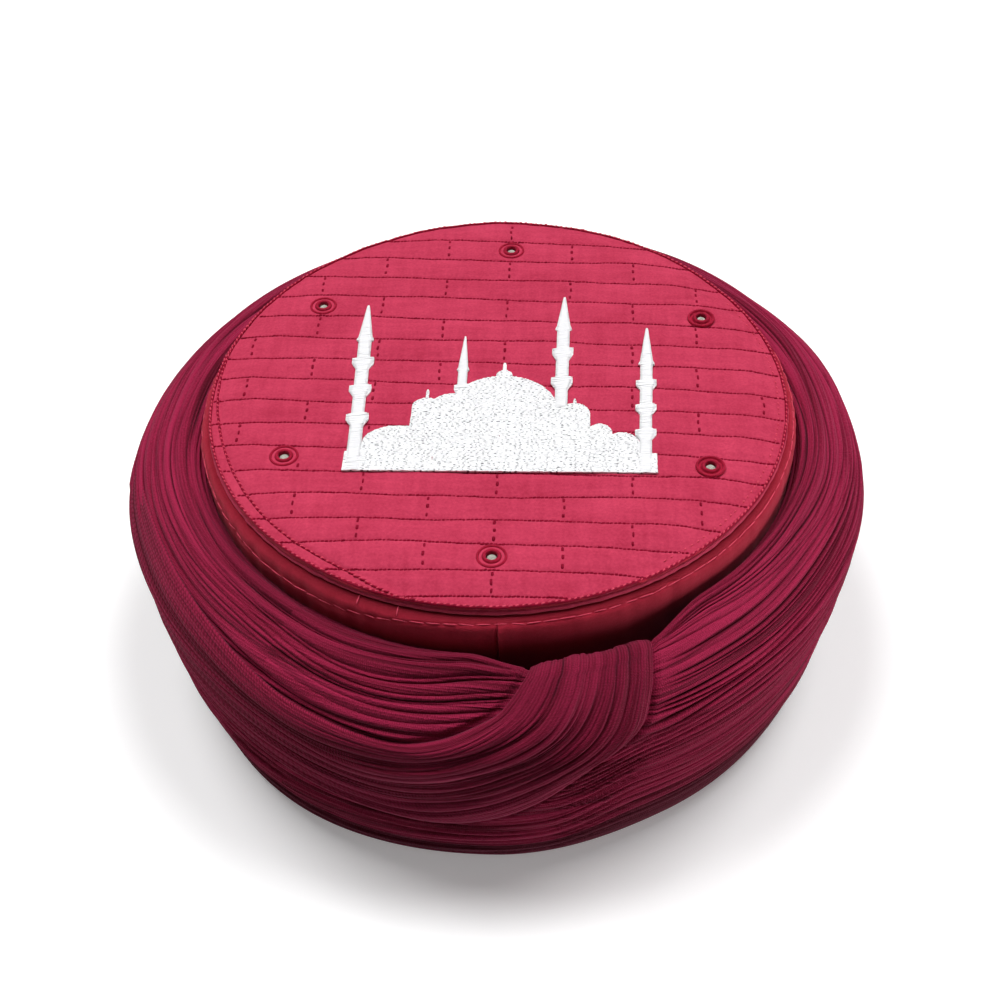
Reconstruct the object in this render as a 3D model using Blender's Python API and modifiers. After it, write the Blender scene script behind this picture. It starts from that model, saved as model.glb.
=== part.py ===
# A ready-wound turban: a stiff round cap with a quilted flat crown, and a pleated cloth
# wound round its side, crossed over itself at the front.
# Metres, +Z up. The origin is the middle of the rim that the hat stands on, and -Y is its front.

import math

import bmesh
import bpy
from mathutils import Vector

# Cap sizes
HEAD_RADIUS = 0.0915
CAP_WALL = 0.0025
CROWN_RADIUS = 0.095
SHOULDER_BULGE = 0.0035
SHOULDER_DROP = 0.0145
HAT_HEIGHT = 0.104
CROWN_THICKNESS = 0.0022
CROWN_LIP = 0.003
STIFFENER_THICKNESS = 0.001
PIPING_RADIUS = 0.0011
SEAM_GAP = 0.0003

# Eyelet sizes
EYELET_RADIUS = 0.0045
EYELET_HOLE_RADIUS = 0.0016
EYELET_BARREL_WALL = 0.0004
EYELET_RISE = 0.0009

# Embroidery sizes
MOSQUE_WIDTH = 0.0987
MOSQUE_HEIGHT = 0.0525
MOSQUE_FOOT_FORWARD = 0.041
MOSQUE_TO_RIGHT = 0.0021
MOSQUE_RAISE = 0.0009
MINARET_HEIGHT = 0.0884
MINARET_WIDTH = 0.0074

# Wound cloth sizes
WRAP_THICKNESS = 0.0267
WRAP_HEIGHT = 0.089
PLEAT_DEPTH = 0.0020
NOTCH_GAP = 0.0065
NOTCH_DROP = 0.0055
NOTCH_DEPTH = 0.022

# Crossing sizes
CROSSING_THICKNESS = 0.0052
CROSSING_EDGE = 0.0008
CROSSING_PLEATS = 5
CROSSING_PLEAT_DEPTH = 0.0017
CROSSING_SINK = 0.5
CROSSING_SINK_FADE = 0.0055
CROSSING_SINK_FROM = -0.002
CROSSING_SINK_FULL = 0.012
CROSSING_GAP = 0.0006

# From the middle of the whole hat's box to the cap's axis
CAP_TO_RIGHT = 0.0016
CAP_TO_BACK = -0.0007

# Facets
RING_STEPS = 56
FRONT_FROM = -9.0
FRONT_TO = 42.0
FRONT_STEPS = 16
SIDE_STEPS = 50
CROSSING_STEPS = 2
EYELET_STEPS = 12

# Eyelets round the crown: degrees from the back, turning towards the right, and the distance
# from the middle as a share of the crown's radius
EYELETS = (
    {"angle": 1.5, "out": 0.805},
    {"angle": 61.5, "out": 0.825},
    {"angle": 118.5, "out": 0.815},
    {"angle": 179.0, "out": 0.805},
    {"angle": 243.0, "out": 0.785},
    {"angle": 304.5, "out": 0.805},
)

# The wound cloth's section, from its inner top edge over the crest and down to the floor:
# out is a share of its thickness, up a share of its height
WRAP_SECTION = (
    {"out": 0.000, "up": 0.966},
    {"out": 0.085, "up": 0.991},
    {"out": 0.195, "up": 1.000},
    {"out": 0.385, "up": 0.989},
    {"out": 0.610, "up": 0.949},
    {"out": 0.815, "up": 0.888},
    {"out": 0.955, "up": 0.815},
    {"out": 1.000, "up": 0.742},
    {"out": 0.982, "up": 0.652},
    {"out": 0.926, "up": 0.539},
    {"out": 0.852, "up": 0.416},
    {"out": 0.758, "up": 0.281},
    {"out": 0.646, "up": 0.146},
    {"out": 0.550, "up": 0.050},
    {"out": 0.440, "up": 0.000},
)

# How much thicker or thinner the wound cloth is round the cap, as shares of its thickness:
# degrees from the front to the right, at its crest and at its foot
WRAP_SWELL = (
    {"angle": -180.0, "crest": 0.08, "foot": 0.00},
    {"angle": -150.0, "crest": 0.07, "foot": 0.01},
    {"angle": -120.0, "crest": 0.08, "foot": 0.01},
    {"angle": -90.0, "crest": 0.06, "foot": 0.00},
    {"angle": -60.0, "crest": -0.02, "foot": 0.02},
    {"angle": -30.0, "crest": -0.05, "foot": 0.10},
    {"angle": 0.0, "crest": -0.08, "foot": 0.05},
    {"angle": 30.0, "crest": -0.12, "foot": -0.06},
    {"angle": 60.0, "crest": -0.14, "foot": -0.08},
    {"angle": 90.0, "crest": -0.06, "foot": -0.09},
    {"angle": 120.0, "crest": 0.02, "foot": -0.07},
    {"angle": 150.0, "crest": 0.06, "foot": -0.03},
)
SWELL_CREST = 0.72
SWELL_FOOT = 0.12

# The folds down the section, top to bottom, with their widths and depths as shares of one
# another and of the pleat's depth
FOLDS = (
    {"width": 1.0, "depth": 0.7},
    {"width": 1.3, "depth": 1.0},
    {"width": 0.9, "depth": 0.8},
    {"width": 1.2, "depth": 1.1},
    {"width": 0.9, "depth": 0.8},
    {"width": 1.3, "depth": 1.0},
    {"width": 1.0, "depth": 0.8},
    {"width": 1.3, "depth": 0.9},
    {"width": 1.6, "depth": 0.6},
    {"width": 2.0, "depth": 0.4},
)

# The crossing from its tuck inside the notch, over the crest and down to the left. Angles are
# degrees from the front, to the right; downs are shares of the section's length; thick is a
# share of the crossing's thickness.
CROSSING = (
    {"left": 8.0, "left_down": -0.120, "right": 27.0, "right_down": -0.120, "thick": 0.50},
    {"left": 7.8, "left_down": -0.050, "right": 27.2, "right_down": -0.050, "thick": 0.52},
    {"left": 7.6, "left_down": -0.005, "right": 27.2, "right_down": -0.005, "thick": 0.55},
    {"left": 7.4, "left_down": 0.020, "right": 27.2, "right_down": 0.020, "thick": 0.60},
    {"left": 7.0, "left_down": 0.065, "right": 27.2, "right_down": 0.070, "thick": 0.70},
    {"left": 5.6, "left_down": 0.124, "right": 26.3, "right_down": 0.130, "thick": 0.85},
    {"left": 4.0, "left_down": 0.172, "right": 25.2, "right_down": 0.192, "thick": 1.00},
    {"left": 2.0, "left_down": 0.217, "right": 24.0, "right_down": 0.246, "thick": 1.05},
    {"left": -1.0, "left_down": 0.254, "right": 22.5, "right_down": 0.307, "thick": 1.05},
    {"left": -5.0, "left_down": 0.293, "right": 20.0, "right_down": 0.358, "thick": 1.00},
    {"left": -9.0, "left_down": 0.320, "right": 16.5, "right_down": 0.414, "thick": 0.90},
    {"left": -13.0, "left_down": 0.329, "right": 12.5, "right_down": 0.493, "thick": 0.80},
    {"left": -18.0, "left_down": 0.324, "right": 7.6, "right_down": 0.586, "thick": 0.70},
    {"left": -23.5, "left_down": 0.311, "right": 1.5, "right_down": 0.660, "thick": 0.60},
    {"left": -30.0, "left_down": 0.293, "right": -6.0, "right_down": 0.704, "thick": 0.50},
    {"left": -38.0, "left_down": 0.260, "right": -16.0, "right_down": 0.693, "thick": 0.40},
    {"left": -48.0, "left_down": 0.223, "right": -29.0, "right_down": 0.651, "thick": 0.32},
    {"left": -60.0, "left_down": 0.205, "right": -43.0, "right_down": 0.600, "thick": 0.26},
    {"left": -73.0, "left_down": 0.215, "right": -60.0, "right_down": 0.545, "thick": 0.22},
    {"left": -86.0, "left_down": 0.260, "right": -80.0, "right_down": 0.450, "thick": 0.18},
)

# Half of a minaret's outline, foot to tip. Up is a share of its height: from the foot, or from
# its upper balcony where above says so. Out is a share of half its width.
MINARET_OUTLINE = (
    {"above": False, "up": 0.000, "out": 0.62},
    {"above": True, "up": -0.410, "out": 0.58},
    {"above": True, "up": -0.375, "out": 1.00},
    {"above": True, "up": -0.345, "out": 1.00},
    {"above": True, "up": -0.340, "out": 0.58},
    {"above": True, "up": -0.240, "out": 0.58},
    {"above": True, "up": -0.205, "out": 1.00},
    {"above": True, "up": -0.175, "out": 1.00},
    {"above": True, "up": -0.170, "out": 0.60},
    {"above": True, "up": -0.070, "out": 0.60},
    {"above": True, "up": -0.035, "out": 1.00},
    {"above": True, "up": -0.005, "out": 1.00},
    {"above": True, "up": 0.000, "out": 0.60},
    {"above": True, "up": 0.105, "out": 0.60},
    {"above": True, "up": 0.115, "out": 0.80},
    {"above": True, "up": 0.135, "out": 0.64},
    {"above": False, "up": 0.985, "out": 0.16},
    {"above": False, "up": 1.000, "out": 0.10},
)

# The four minarets: foot and tip from the mosque's middle as shares of its width, and their
# height, width and upper balcony as shares of the tallest one
MINARETS = (
    {"foot": -0.467, "tip": -0.496, "height": 0.942, "width": 1.00, "balcony": 0.660},
    {"foot": -0.138, "tip": -0.142, "height": 0.750, "width": 0.70, "balcony": 0.623},
    {"foot": 0.188, "tip": 0.199, "height": 1.000, "width": 0.97, "balcony": 0.685},
    {"foot": 0.461, "tip": 0.485, "height": 0.805, "width": 0.92, "balcony": 0.622},
)

# Blocks and domes of the mosque's body. Middle and half width are shares of its width, top and
# dome shares of its height; dome is how far the rounded top falls away, 0 for a flat block.
MOSQUE_PARTS = (
    {"middle": 0.000, "half": 0.500, "top": 0.165, "dome": 0.000},
    {"middle": -0.334, "half": 0.114, "top": 0.398, "dome": 0.150},
    {"middle": -0.007, "half": 0.293, "top": 0.470, "dome": 0.000},
    {"middle": -0.252, "half": 0.047, "top": 0.657, "dome": 0.075},
    {"middle": -0.252, "half": 0.005, "top": 0.735, "dome": 0.030},
    {"middle": -0.165, "half": 0.066, "top": 0.700, "dome": 0.085},
    {"middle": 0.000, "half": 0.180, "top": 0.872, "dome": 0.310},
    {"middle": 0.000, "half": 0.027, "top": 0.928, "dome": 0.045},
    {"middle": 0.000, "half": 0.006, "top": 1.000, "dome": 0.030},
    {"middle": 0.235, "half": 0.053, "top": 0.617, "dome": 0.100},
    {"middle": 0.238, "half": 0.005, "top": 0.655, "dome": 0.020},
    {"middle": 0.319, "half": 0.040, "top": 0.427, "dome": 0.080},
    {"middle": 0.390, "half": 0.056, "top": 0.350, "dome": 0.100},
)
DOME_STEPS = (0.0, 0.35, 0.66, 0.88, 0.97)

# Colours, roughness
MATERIALS = {
    "crown_cotton": ((0.60, 0.045, 0.105, 1.0), 0.85),
    "band_cotton": ((0.34, 0.016, 0.040, 1.0), 0.85),
    "wrap_gauze": ((0.19, 0.008, 0.045, 1.0), 0.92),
    "pale_buckram": ((0.62, 0.58, 0.50, 1.0), 0.90),
    "white_thread": ((0.88, 0.88, 0.90, 1.0), 0.55),
    "red_thread": ((0.42, 0.008, 0.040, 1.0), 0.60),
}

SHOULDER_RADIUS = CROWN_RADIUS + SHOULDER_BULGE
SHOULDER_HEIGHT = HAT_HEIGHT - SHOULDER_DROP
WRAP_INNER_RADIUS = SHOULDER_RADIUS + SEAM_GAP


def clear_scene():
    for obj in list(bpy.data.objects):
        bpy.data.objects.remove(obj)


def make_collection(name):
    collection = bpy.data.collections.new(name)
    bpy.context.scene.collection.children.link(collection)
    return collection


def make_material(name):
    colour, roughness = MATERIALS[name]
    material = bpy.data.materials.new(name)
    material.use_nodes = True
    shader = material.node_tree.nodes["Principled BSDF"]
    shader.inputs["Base Color"].default_value = colour
    shader.inputs["Roughness"].default_value = roughness
    shader.inputs["Metallic"].default_value = 0.0
    material.diffuse_color = colour
    return material


def add_object(name, mesh, collection, material_name):
    obj = bpy.data.objects.new(name, mesh)
    collection.objects.link(obj)
    if material_name and not mesh.materials:
        material = bpy.data.materials.get(material_name) or make_material(material_name)
        mesh.materials.append(material)
    return obj


def turned_mesh(name, profile, closed):
    # An edge chain in the XZ plane, for a Screw modifier to turn
    mesh = bpy.data.meshes.new(name)
    edges = [(i, i + 1) for i in range(len(profile) - 1)]
    if closed:
        edges.append((len(profile) - 1, 0))
    mesh.from_pydata([(r, 0.0, z) for r, z in profile], edges, [])
    return mesh


def add_turned(name, profile, collection, material_name, closed=True, steps=RING_STEPS):
    obj = add_object(name, turned_mesh(name, profile, closed), collection, material_name)
    screw = obj.modifiers.new("turn", "SCREW")
    screw.axis = "Z"
    screw.angle = math.tau
    screw.steps = steps
    screw.render_steps = steps
    screw.use_merge_vertices = True
    screw.merge_threshold = 0.00001
    screw.use_smooth_shade = True
    return obj


def apply_modifiers(obj):
    graph = bpy.context.evaluated_depsgraph_get()
    mesh = bpy.data.meshes.new_from_object(obj.evaluated_get(graph))
    obj.modifiers.clear()
    obj.data = mesh
    return mesh


def shade_round(mesh, degrees=40.0):
    mesh.shade_smooth()
    mesh.set_sharp_from_angle(angle=math.radians(degrees))


def band_outer_radius(height):
    # Outside of the cap's side, a straight flare from the rim to the shoulder
    share = min(max(height / SHOULDER_HEIGHT, 0.0), 1.0)
    rim = HEAD_RADIUS + CAP_WALL
    return rim + (SHOULDER_RADIUS - rim) * share


def crown_underside():
    return HAT_HEIGHT - CROWN_THICKNESS


def eyelet_places():
    for number, row in enumerate(EYELETS, 1):
        turn = math.radians(row["angle"])
        out = row["out"] * CROWN_RADIUS
        yield number, Vector((out * math.sin(turn), out * math.cos(turn), 0.0))


def build_crown_top(parts, cutters):
    top = HAT_HEIGHT
    under = crown_underside()
    lip = top - CROWN_LIP
    corner = CROWN_LIP * 0.5
    profile = (
        (0.0, top),
        (CROWN_RADIUS - corner, top),
        (CROWN_RADIUS - corner * 0.3, top - corner * 0.3),
        (CROWN_RADIUS, top - corner),
        (CROWN_RADIUS, lip),
        (CROWN_RADIUS - corner * 0.8, lip),
        (CROWN_RADIUS - corner * 1.2, under),
        (0.0, under),
    )
    crown = add_turned("crown_top", profile, parts, "crown_cotton", closed=False)
    apply_modifiers(crown)
    weld = bmesh.new()
    weld.from_mesh(crown.data)
    bmesh.ops.remove_doubles(weld, verts=weld.verts, dist=0.00001)
    bmesh.ops.recalc_face_normals(weld, faces=weld.faces)
    weld.to_mesh(crown.data)
    weld.free()
    hole_radius = EYELET_HOLE_RADIUS + EYELET_BARREL_WALL + SEAM_GAP
    for number, place in eyelet_places():
        cutter_mesh = bpy.data.meshes.new(f"eyelet_cutter_{number}")
        drill = bmesh.new()
        bmesh.ops.create_cone(
            drill,
            cap_ends=True,
            segments=EYELET_STEPS,
            radius1=hole_radius,
            radius2=hole_radius,
            depth=CROWN_THICKNESS * 3.0,
        )
        drill.to_mesh(cutter_mesh)
        drill.free()
        cutter = add_object(cutter_mesh.name, cutter_mesh, cutters, None)
        cutter.location = place + Vector((0.0, 0.0, (top + under) / 2.0))
        cutter.hide_render = True
        cutter.display_type = "WIRE"
        cut = crown.modifiers.new(f"eyelet_{number}", "BOOLEAN")
        cut.operation = "DIFFERENCE"
        cut.solver = "EXACT"
        cut.object = cutter
    shade_round(crown.data)


def build_crown_stiffener(parts):
    # The pale buckram disc that shows at the bottom of each eyelet
    top = crown_underside() - SEAM_GAP
    radius = CROWN_RADIUS - PIPING_RADIUS - SEAM_GAP * 2.0
    profile = (
        (0.0, top),
        (radius, top),
        (radius, top - STIFFENER_THICKNESS),
        (0.0, top - STIFFENER_THICKNESS),
    )
    disc = add_turned("crown_stiffener", profile, parts, "pale_buckram", closed=False)
    apply_modifiers(disc)
    shade_round(disc.data)


def piping_height():
    return HAT_HEIGHT - CROWN_LIP - SEAM_GAP - PIPING_RADIUS


def build_crown_piping(parts):
    # The thin roll of cloth sewn into the seam under the crown's lip
    bpy.ops.mesh.primitive_torus_add(
        major_radius=CROWN_RADIUS,
        minor_radius=PIPING_RADIUS,
        major_segments=RING_STEPS,
        minor_segments=5,
        location=(0.0, 0.0, piping_height()),
    )
    piping = bpy.context.object
    piping.name = "crown_piping"
    for collection in list(piping.users_collection):
        collection.objects.unlink(piping)
    parts.objects.link(piping)
    piping.data.materials.append(make_material("red_thread"))
    shade_round(piping.data)


def build_crown_band(parts):
    # The cap's side: a seam tab inside the piping, a rounded shoulder and a flared wall
    tab_top = crown_underside() - SEAM_GAP * 2.0 - STIFFENER_THICKNESS
    tab_outer = CROWN_RADIUS - PIPING_RADIUS - SEAM_GAP
    tab_inner = tab_outer - CAP_WALL
    ledge = piping_height() - PIPING_RADIUS - SEAM_GAP
    fall = ledge - SHOULDER_HEIGHT
    reach = SHOULDER_RADIUS - tab_outer
    quarter = [math.radians(22.5 * step) for step in range(5)]
    outer = [(tab_outer + reach * math.sin(a), SHOULDER_HEIGHT + fall * math.cos(a)) for a in quarter]
    inner_reach = SHOULDER_RADIUS - CAP_WALL - tab_inner
    inner_fall = fall - CAP_WALL * 0.5
    inner = [
        (tab_inner + inner_reach * math.sin(a), SHOULDER_HEIGHT + inner_fall * math.cos(a))
        for a in reversed(quarter[1:])
    ]
    profile = [(tab_outer, tab_top)]
    profile += outer
    profile += [(HEAD_RADIUS + CAP_WALL, 0.0), (HEAD_RADIUS, 0.0)]
    profile += inner
    profile += [(tab_inner, SHOULDER_HEIGHT + inner_fall), (tab_inner, tab_top)]
    add_turned("crown_band", profile, parts, "band_cotton")


def build_eyelets(parts):
    # A sewn ring: a flat flange with a raised inner bead, and a barrel through the cloth
    foot = HAT_HEIGHT + SEAM_GAP
    span = EYELET_RADIUS - EYELET_HOLE_RADIUS
    barrel = EYELET_HOLE_RADIUS + EYELET_BARREL_WALL
    profile = (
        (EYELET_HOLE_RADIUS, foot + EYELET_RISE * 0.6),
        (EYELET_HOLE_RADIUS + span * 0.15, foot + EYELET_RISE),
        (EYELET_HOLE_RADIUS + span * 0.38, foot + EYELET_RISE * 0.9),
        (EYELET_HOLE_RADIUS + span * 0.50, foot + EYELET_RISE * 0.45),
        (EYELET_HOLE_RADIUS + span * 0.80, foot + EYELET_RISE * 0.60),
        (EYELET_RADIUS, foot + EYELET_RISE * 0.25),
        (EYELET_RADIUS, foot),
        (barrel, foot),
        (barrel, crown_underside()),
        (EYELET_HOLE_RADIUS, crown_underside()),
    )
    shared = None
    for number, place in eyelet_places():
        name = f"eyelet_{number}"
        if shared is None:
            eyelet = add_turned(name, profile, parts, "red_thread", steps=EYELET_STEPS)
            shared = apply_modifiers(eyelet)
        else:
            eyelet = add_object(name, shared, parts, "red_thread")
        eyelet.location = place


def outline_mesh(name, points, collection, thickness):
    # A flat outline as a filled 2D curve, made a welded mesh
    curve = bpy.data.curves.new(name, "CURVE")
    curve.dimensions = "2D"
    curve.fill_mode = "BOTH"
    curve.extrude = thickness / 2.0
    spline = curve.splines.new("POLY")
    spline.points.add(len(points) - 1)
    for point, (x, y) in zip(spline.points, points):
        point.co = (x, y, 0.0, 1.0)
    spline.use_cyclic_u = True
    guide = bpy.data.objects.new(name, curve)
    collection.objects.link(guide)
    graph = bpy.context.evaluated_depsgraph_get()
    mesh = bpy.data.meshes.new_from_object(guide.evaluated_get(graph))
    bpy.data.objects.remove(guide)
    weld = bmesh.new()
    weld.from_mesh(mesh)
    bmesh.ops.remove_doubles(weld, verts=weld.verts, dist=0.00001)
    bmesh.ops.recalc_face_normals(weld, faces=weld.faces)
    weld.to_mesh(mesh)
    weld.free()
    return mesh


def skyline_height(across):
    # Height of the mosque's body over a place across it, both as shares
    highest = 0.0
    for part in MOSQUE_PARTS:
        away = abs(across - part["middle"]) / part["half"]
        if away <= 1.0:
            highest = max(highest, part["top"] - part["dome"] * (1.0 - math.sqrt(1.0 - away * away)))
    return highest


def skyline_places():
    # Places across the mosque where its outline can turn: just inside and outside every side
    # of a block, and along every dome
    places = set()
    for part in MOSQUE_PARTS:
        for side in (-1.0, 1.0):
            edge = part["middle"] + side * part["half"]
            places.add(round(edge - side * 0.0004, 5))
            places.add(round(edge + side * 0.0004, 5))
            if part["dome"] and part["half"] > 0.02:
                places.update(round(part["middle"] + side * part["half"] * step, 5) for step in DOME_STEPS)
    return sorted(place for place in places if abs(place) < 0.5)


def skyline_outline():
    points = [(-MOSQUE_WIDTH / 2.0, 0.0)]
    for across in skyline_places():
        points.append((across * MOSQUE_WIDTH, skyline_height(across) * MOSQUE_HEIGHT))
    points.append((MOSQUE_WIDTH / 2.0, 0.0))
    return points


def minaret_outline(minaret):
    height = MINARET_HEIGHT * minaret["height"]
    half = MINARET_WIDTH * minaret["width"] / 2.0
    left = []
    right = []
    for row in MINARET_OUTLINE:
        up = row["up"] + (minaret["balcony"] if row["above"] else 0.0)
        middle = (minaret["foot"] + (minaret["tip"] - minaret["foot"]) * up) * MOSQUE_WIDTH
        right.append((middle + row["out"] * half, up * height))
        left.append((middle - row["out"] * half, up * height))
    return right + left[::-1]


def build_mosque(parts, cutters):
    # Raised white embroidery: a body of domes and blocks, and four minarets joined to it
    foot_height = HAT_HEIGHT + SEAM_GAP + MOSQUE_RAISE / 2.0
    foot = Vector((MOSQUE_TO_RIGHT, -MOSQUE_FOOT_FORWARD, foot_height))
    body = outline_mesh("mosque_embroidery", skyline_outline(), parts, MOSQUE_RAISE)
    mosque = add_object("mosque_embroidery", body, parts, "white_thread")
    mosque.location = foot
    for number, minaret in enumerate(MINARETS, 1):
        mesh = outline_mesh(f"minaret_{number}", minaret_outline(minaret), cutters, MOSQUE_RAISE)
        spire = add_object(f"minaret_{number}", mesh, cutters, None)
        spire.location = foot
        spire.hide_render = True
        spire.display_type = "WIRE"
        join = mosque.modifiers.new(f"minaret_{number}", "BOOLEAN")
        join.operation = "UNION"
        join.solver = "EXACT"
        join.object = spire


def smooth_step(low, high, value):
    share = min(max((value - low) / (high - low), 0.0), 1.0)
    return share * share * (3.0 - 2.0 * share)


def section_lengths():
    # Running length of the section's rows, in metres
    lengths = [0.0]
    for first, second in zip(WRAP_SECTION, WRAP_SECTION[1:]):
        across = (second["out"] - first["out"]) * WRAP_THICKNESS
        down = (second["up"] - first["up"]) * WRAP_HEIGHT
        lengths.append(lengths[-1] + math.hypot(across, down))
    return lengths


SECTION_LENGTHS = section_lengths()
SECTION_LENGTH = SECTION_LENGTHS[-1]


def spline_value(column, down):
    # Smooth curve through one column of the section, at a length along it
    last = len(WRAP_SECTION) - 1
    index = 0
    while index < last - 1 and SECTION_LENGTHS[index + 1] < down:
        index += 1
    low, high = SECTION_LENGTHS[index], SECTION_LENGTHS[index + 1]
    share = (down - low) / (high - low)
    before = WRAP_SECTION[max(index - 1, 0)][column]
    start = WRAP_SECTION[index][column]
    end = WRAP_SECTION[index + 1][column]
    after = WRAP_SECTION[min(index + 2, last)][column]
    bend_in = (end - before) / 2.0
    bend_out = (after - start) / 2.0
    squared = share * share
    cubed = squared * share
    return (
        (2.0 * cubed - 3.0 * squared + 1.0) * start
        + (cubed - 2.0 * squared + share) * bend_in
        + (3.0 * squared - 2.0 * cubed) * end
        + (cubed - squared) * bend_out
    )


def notch_share(angle):
    # How far the cloth is drawn away from the cap, where the crossing tucks in
    return smooth_step(-4.0, 9.0, angle) * (1.0 - smooth_step(25.0, 40.0, angle))


def swell(angle, up):
    # How far the wound cloth stands out past its own section, smoothly round the table's rows
    step = 360.0 / len(WRAP_SWELL)
    place = (angle - WRAP_SWELL[0]["angle"]) / step
    index = math.floor(place)
    ease = smooth_step(0.0, 1.0, place - index)
    first = WRAP_SWELL[index % len(WRAP_SWELL)]
    second = WRAP_SWELL[(index + 1) % len(WRAP_SWELL)]
    foot = first["foot"] + (second["foot"] - first["foot"]) * ease
    crest = first["crest"] + (second["crest"] - first["crest"]) * ease
    return (foot + (crest - foot) * smooth_step(SWELL_FOOT, SWELL_CREST, up)) * WRAP_THICKNESS


def surface_rz(angle, down):
    # Radius and height of the wound cloth's outer face. A down below zero is on its inner wall.
    notch = notch_share(angle)
    if down < 0.0:
        height = WRAP_SECTION[0]["up"] * WRAP_HEIGHT + down
        fade = smooth_step(-NOTCH_DEPTH, -NOTCH_DEPTH * 0.25, down)
        drawn = notch * fade
        return wall_radius(height) + NOTCH_GAP * drawn, height - NOTCH_DROP * drawn
    out = spline_value("out", down)
    up = spline_value("up", down)
    height = up * WRAP_HEIGHT
    away = math.exp(-down / (NOTCH_DEPTH * 0.55))
    swollen = swell(angle, up) * min(out / WRAP_SECTION[-1]["out"], 1.0)
    radius = WRAP_INNER_RADIUS + out * WRAP_THICKNESS + swollen + NOTCH_GAP * notch * away
    return radius, height - NOTCH_DROP * notch * away


def wall_radius(height):
    return band_outer_radius(height) + SEAM_GAP


def crossing_row(share):
    # The crossing's table read between its rows, for a share of the way along it
    place = share * (len(CROSSING) - 1)
    index = min(int(place), len(CROSSING) - 2)
    part = place - index
    first, second = CROSSING[index], CROSSING[index + 1]
    return {key: first[key] + (second[key] - first[key]) * part for key in first}


def crossing_lines():
    # The crossing's cross-lines with the wound cloth unrolled flat: both ends and the thickness
    degree = math.radians(1.0) * (WRAP_INNER_RADIUS + WRAP_THICKNESS * 0.8)
    lines = []
    count = (len(CROSSING) - 1) * CROSSING_STEPS * 2
    for number in range(count + 1):
        row = crossing_row(number / count)
        left = (row["left"] * degree, row["left_down"] * SECTION_LENGTH)
        right = (row["right"] * degree, row["right_down"] * SECTION_LENGTH)
        lines.append((left, right, row["thick"]))
    return degree, lines


UNROLLED_DEGREE, CROSSING_LINES = crossing_lines()


def sink_depth(angle, down):
    # How far the windings are pressed in where the crossing lies on them
    across = angle * UNROLLED_DEGREE
    nearest = CROSSING_SINK_FADE
    thick = 0.0
    for (x0, y0), (x1, y1), share in CROSSING_LINES:
        run, fall = x1 - x0, y1 - y0
        part = ((across - x0) * run + (down - y0) * fall) / (run * run + fall * fall)
        part = min(max(part, 0.0), 1.0)
        away = math.hypot(across - x0 - part * run, down - y0 - part * fall)
        if away < nearest:
            nearest = away
            thick = share
    pressed = 1.0 - smooth_step(CROSSING_SINK_FADE * 0.4, CROSSING_SINK_FADE, nearest)
    pressed *= smooth_step(CROSSING_SINK_FROM, CROSSING_SINK_FULL, down)
    return CROSSING_THICKNESS * CROSSING_SINK * min(thick, 1.0) * pressed


def surface_point(angle, down, proud):
    # A point on the wound cloth, stood out along the section's own normal
    proud -= sink_depth(angle, down)
    step = SECTION_LENGTH * 0.004
    r0, z0 = surface_rz(angle, down - step)
    r1, z1 = surface_rz(angle, down + step)
    radius, height = surface_rz(angle, down)
    along = math.hypot(r1 - r0, z1 - z0)
    radius += proud * -(z1 - z0) / along
    height += proud * (r1 - r0) / along
    turn = math.radians(angle)
    return Vector((radius * math.sin(turn), -radius * math.cos(turn), height))


def fold_pull(angle):
    # How far the folds left of the crossing hang below their level elsewhere, as a share
    return 0.11 * smooth_step(-80.0, -8.0, angle) * (1.0 - smooth_step(8.0, 24.0, angle))


def fold_down(angle, share):
    # Place down the section of a fold's level, dragged down beside the crossing
    middle = math.sin(math.pi * min(max(share, 0.0), 1.0)) ** 1.5
    return (share + fold_pull(angle) * middle) * SECTION_LENGTH


def wrap_angles():
    # Closer sections at the front, where the crossing and its notch are
    front = FRONT_TO - FRONT_FROM
    side = 360.0 - front
    angles = [FRONT_FROM + front * step / FRONT_STEPS for step in range(FRONT_STEPS)]
    angles += [FRONT_TO + side * step / SIDE_STEPS for step in range(SIDE_STEPS)]
    return [angle - 360.0 if angle > 180.0 else angle for angle in angles]


def fold_levels():
    # Three rows a fold: its valley, and both sides of its crest
    total = sum(row["width"] for row in FOLDS)
    levels = []
    start = 0.0
    for row in FOLDS:
        width = row["width"] / total
        levels.append((start, row["depth"]))
        levels.append((start + width * 0.28, 0.12))
        levels.append((start + width * 0.68, 0.0))
        start += width
    return levels


def wrap_column(angle):
    # One section through the wound cloth, from the rim's inner edge up and over to its outer edge
    turn = math.radians(angle)
    rows = []
    for height in (0.0, WRAP_HEIGHT * 0.4):
        rows.append((wall_radius(height), height))
    column = [Vector((r * math.sin(turn), -r * math.cos(turn), z)) for r, z in rows]
    for share in (-1.0, -0.8, -0.62, -0.45, -0.28, -0.12):
        column.append(surface_point(angle, share * NOTCH_DEPTH, 0.0))
    for level, depth in fold_levels():
        fade = smooth_step(-0.01, 0.06, level)
        sway = 1.0 + 0.25 * math.sin(math.radians(3.0 * angle) + 9.0 * level)
        proud = -PLEAT_DEPTH * depth * sway * fade
        column.append(surface_point(angle, fold_down(angle, level), proud))
    radius = surface_rz(angle, SECTION_LENGTH)[0]
    column.append(Vector((radius * math.sin(turn), -radius * math.cos(turn), 0.0)))
    return column


def mesh_from_grid(name, grid, close_rows):
    # Quads between neighbouring columns; the last column meets the first
    mesh = bpy.data.meshes.new(name)
    shape = bmesh.new()
    columns = [[shape.verts.new(point) for point in column] for column in grid]
    count = len(columns[0])
    steps = count if close_rows else count - 1
    for index, column in enumerate(columns):
        beside = columns[(index + 1) % len(columns)]
        for row in range(steps):
            above = (row + 1) % count
            shape.faces.new((column[row], column[above], beside[above], beside[row]))
    bmesh.ops.recalc_face_normals(shape, faces=shape.faces)
    shape.to_mesh(mesh)
    shape.free()
    return mesh


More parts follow.
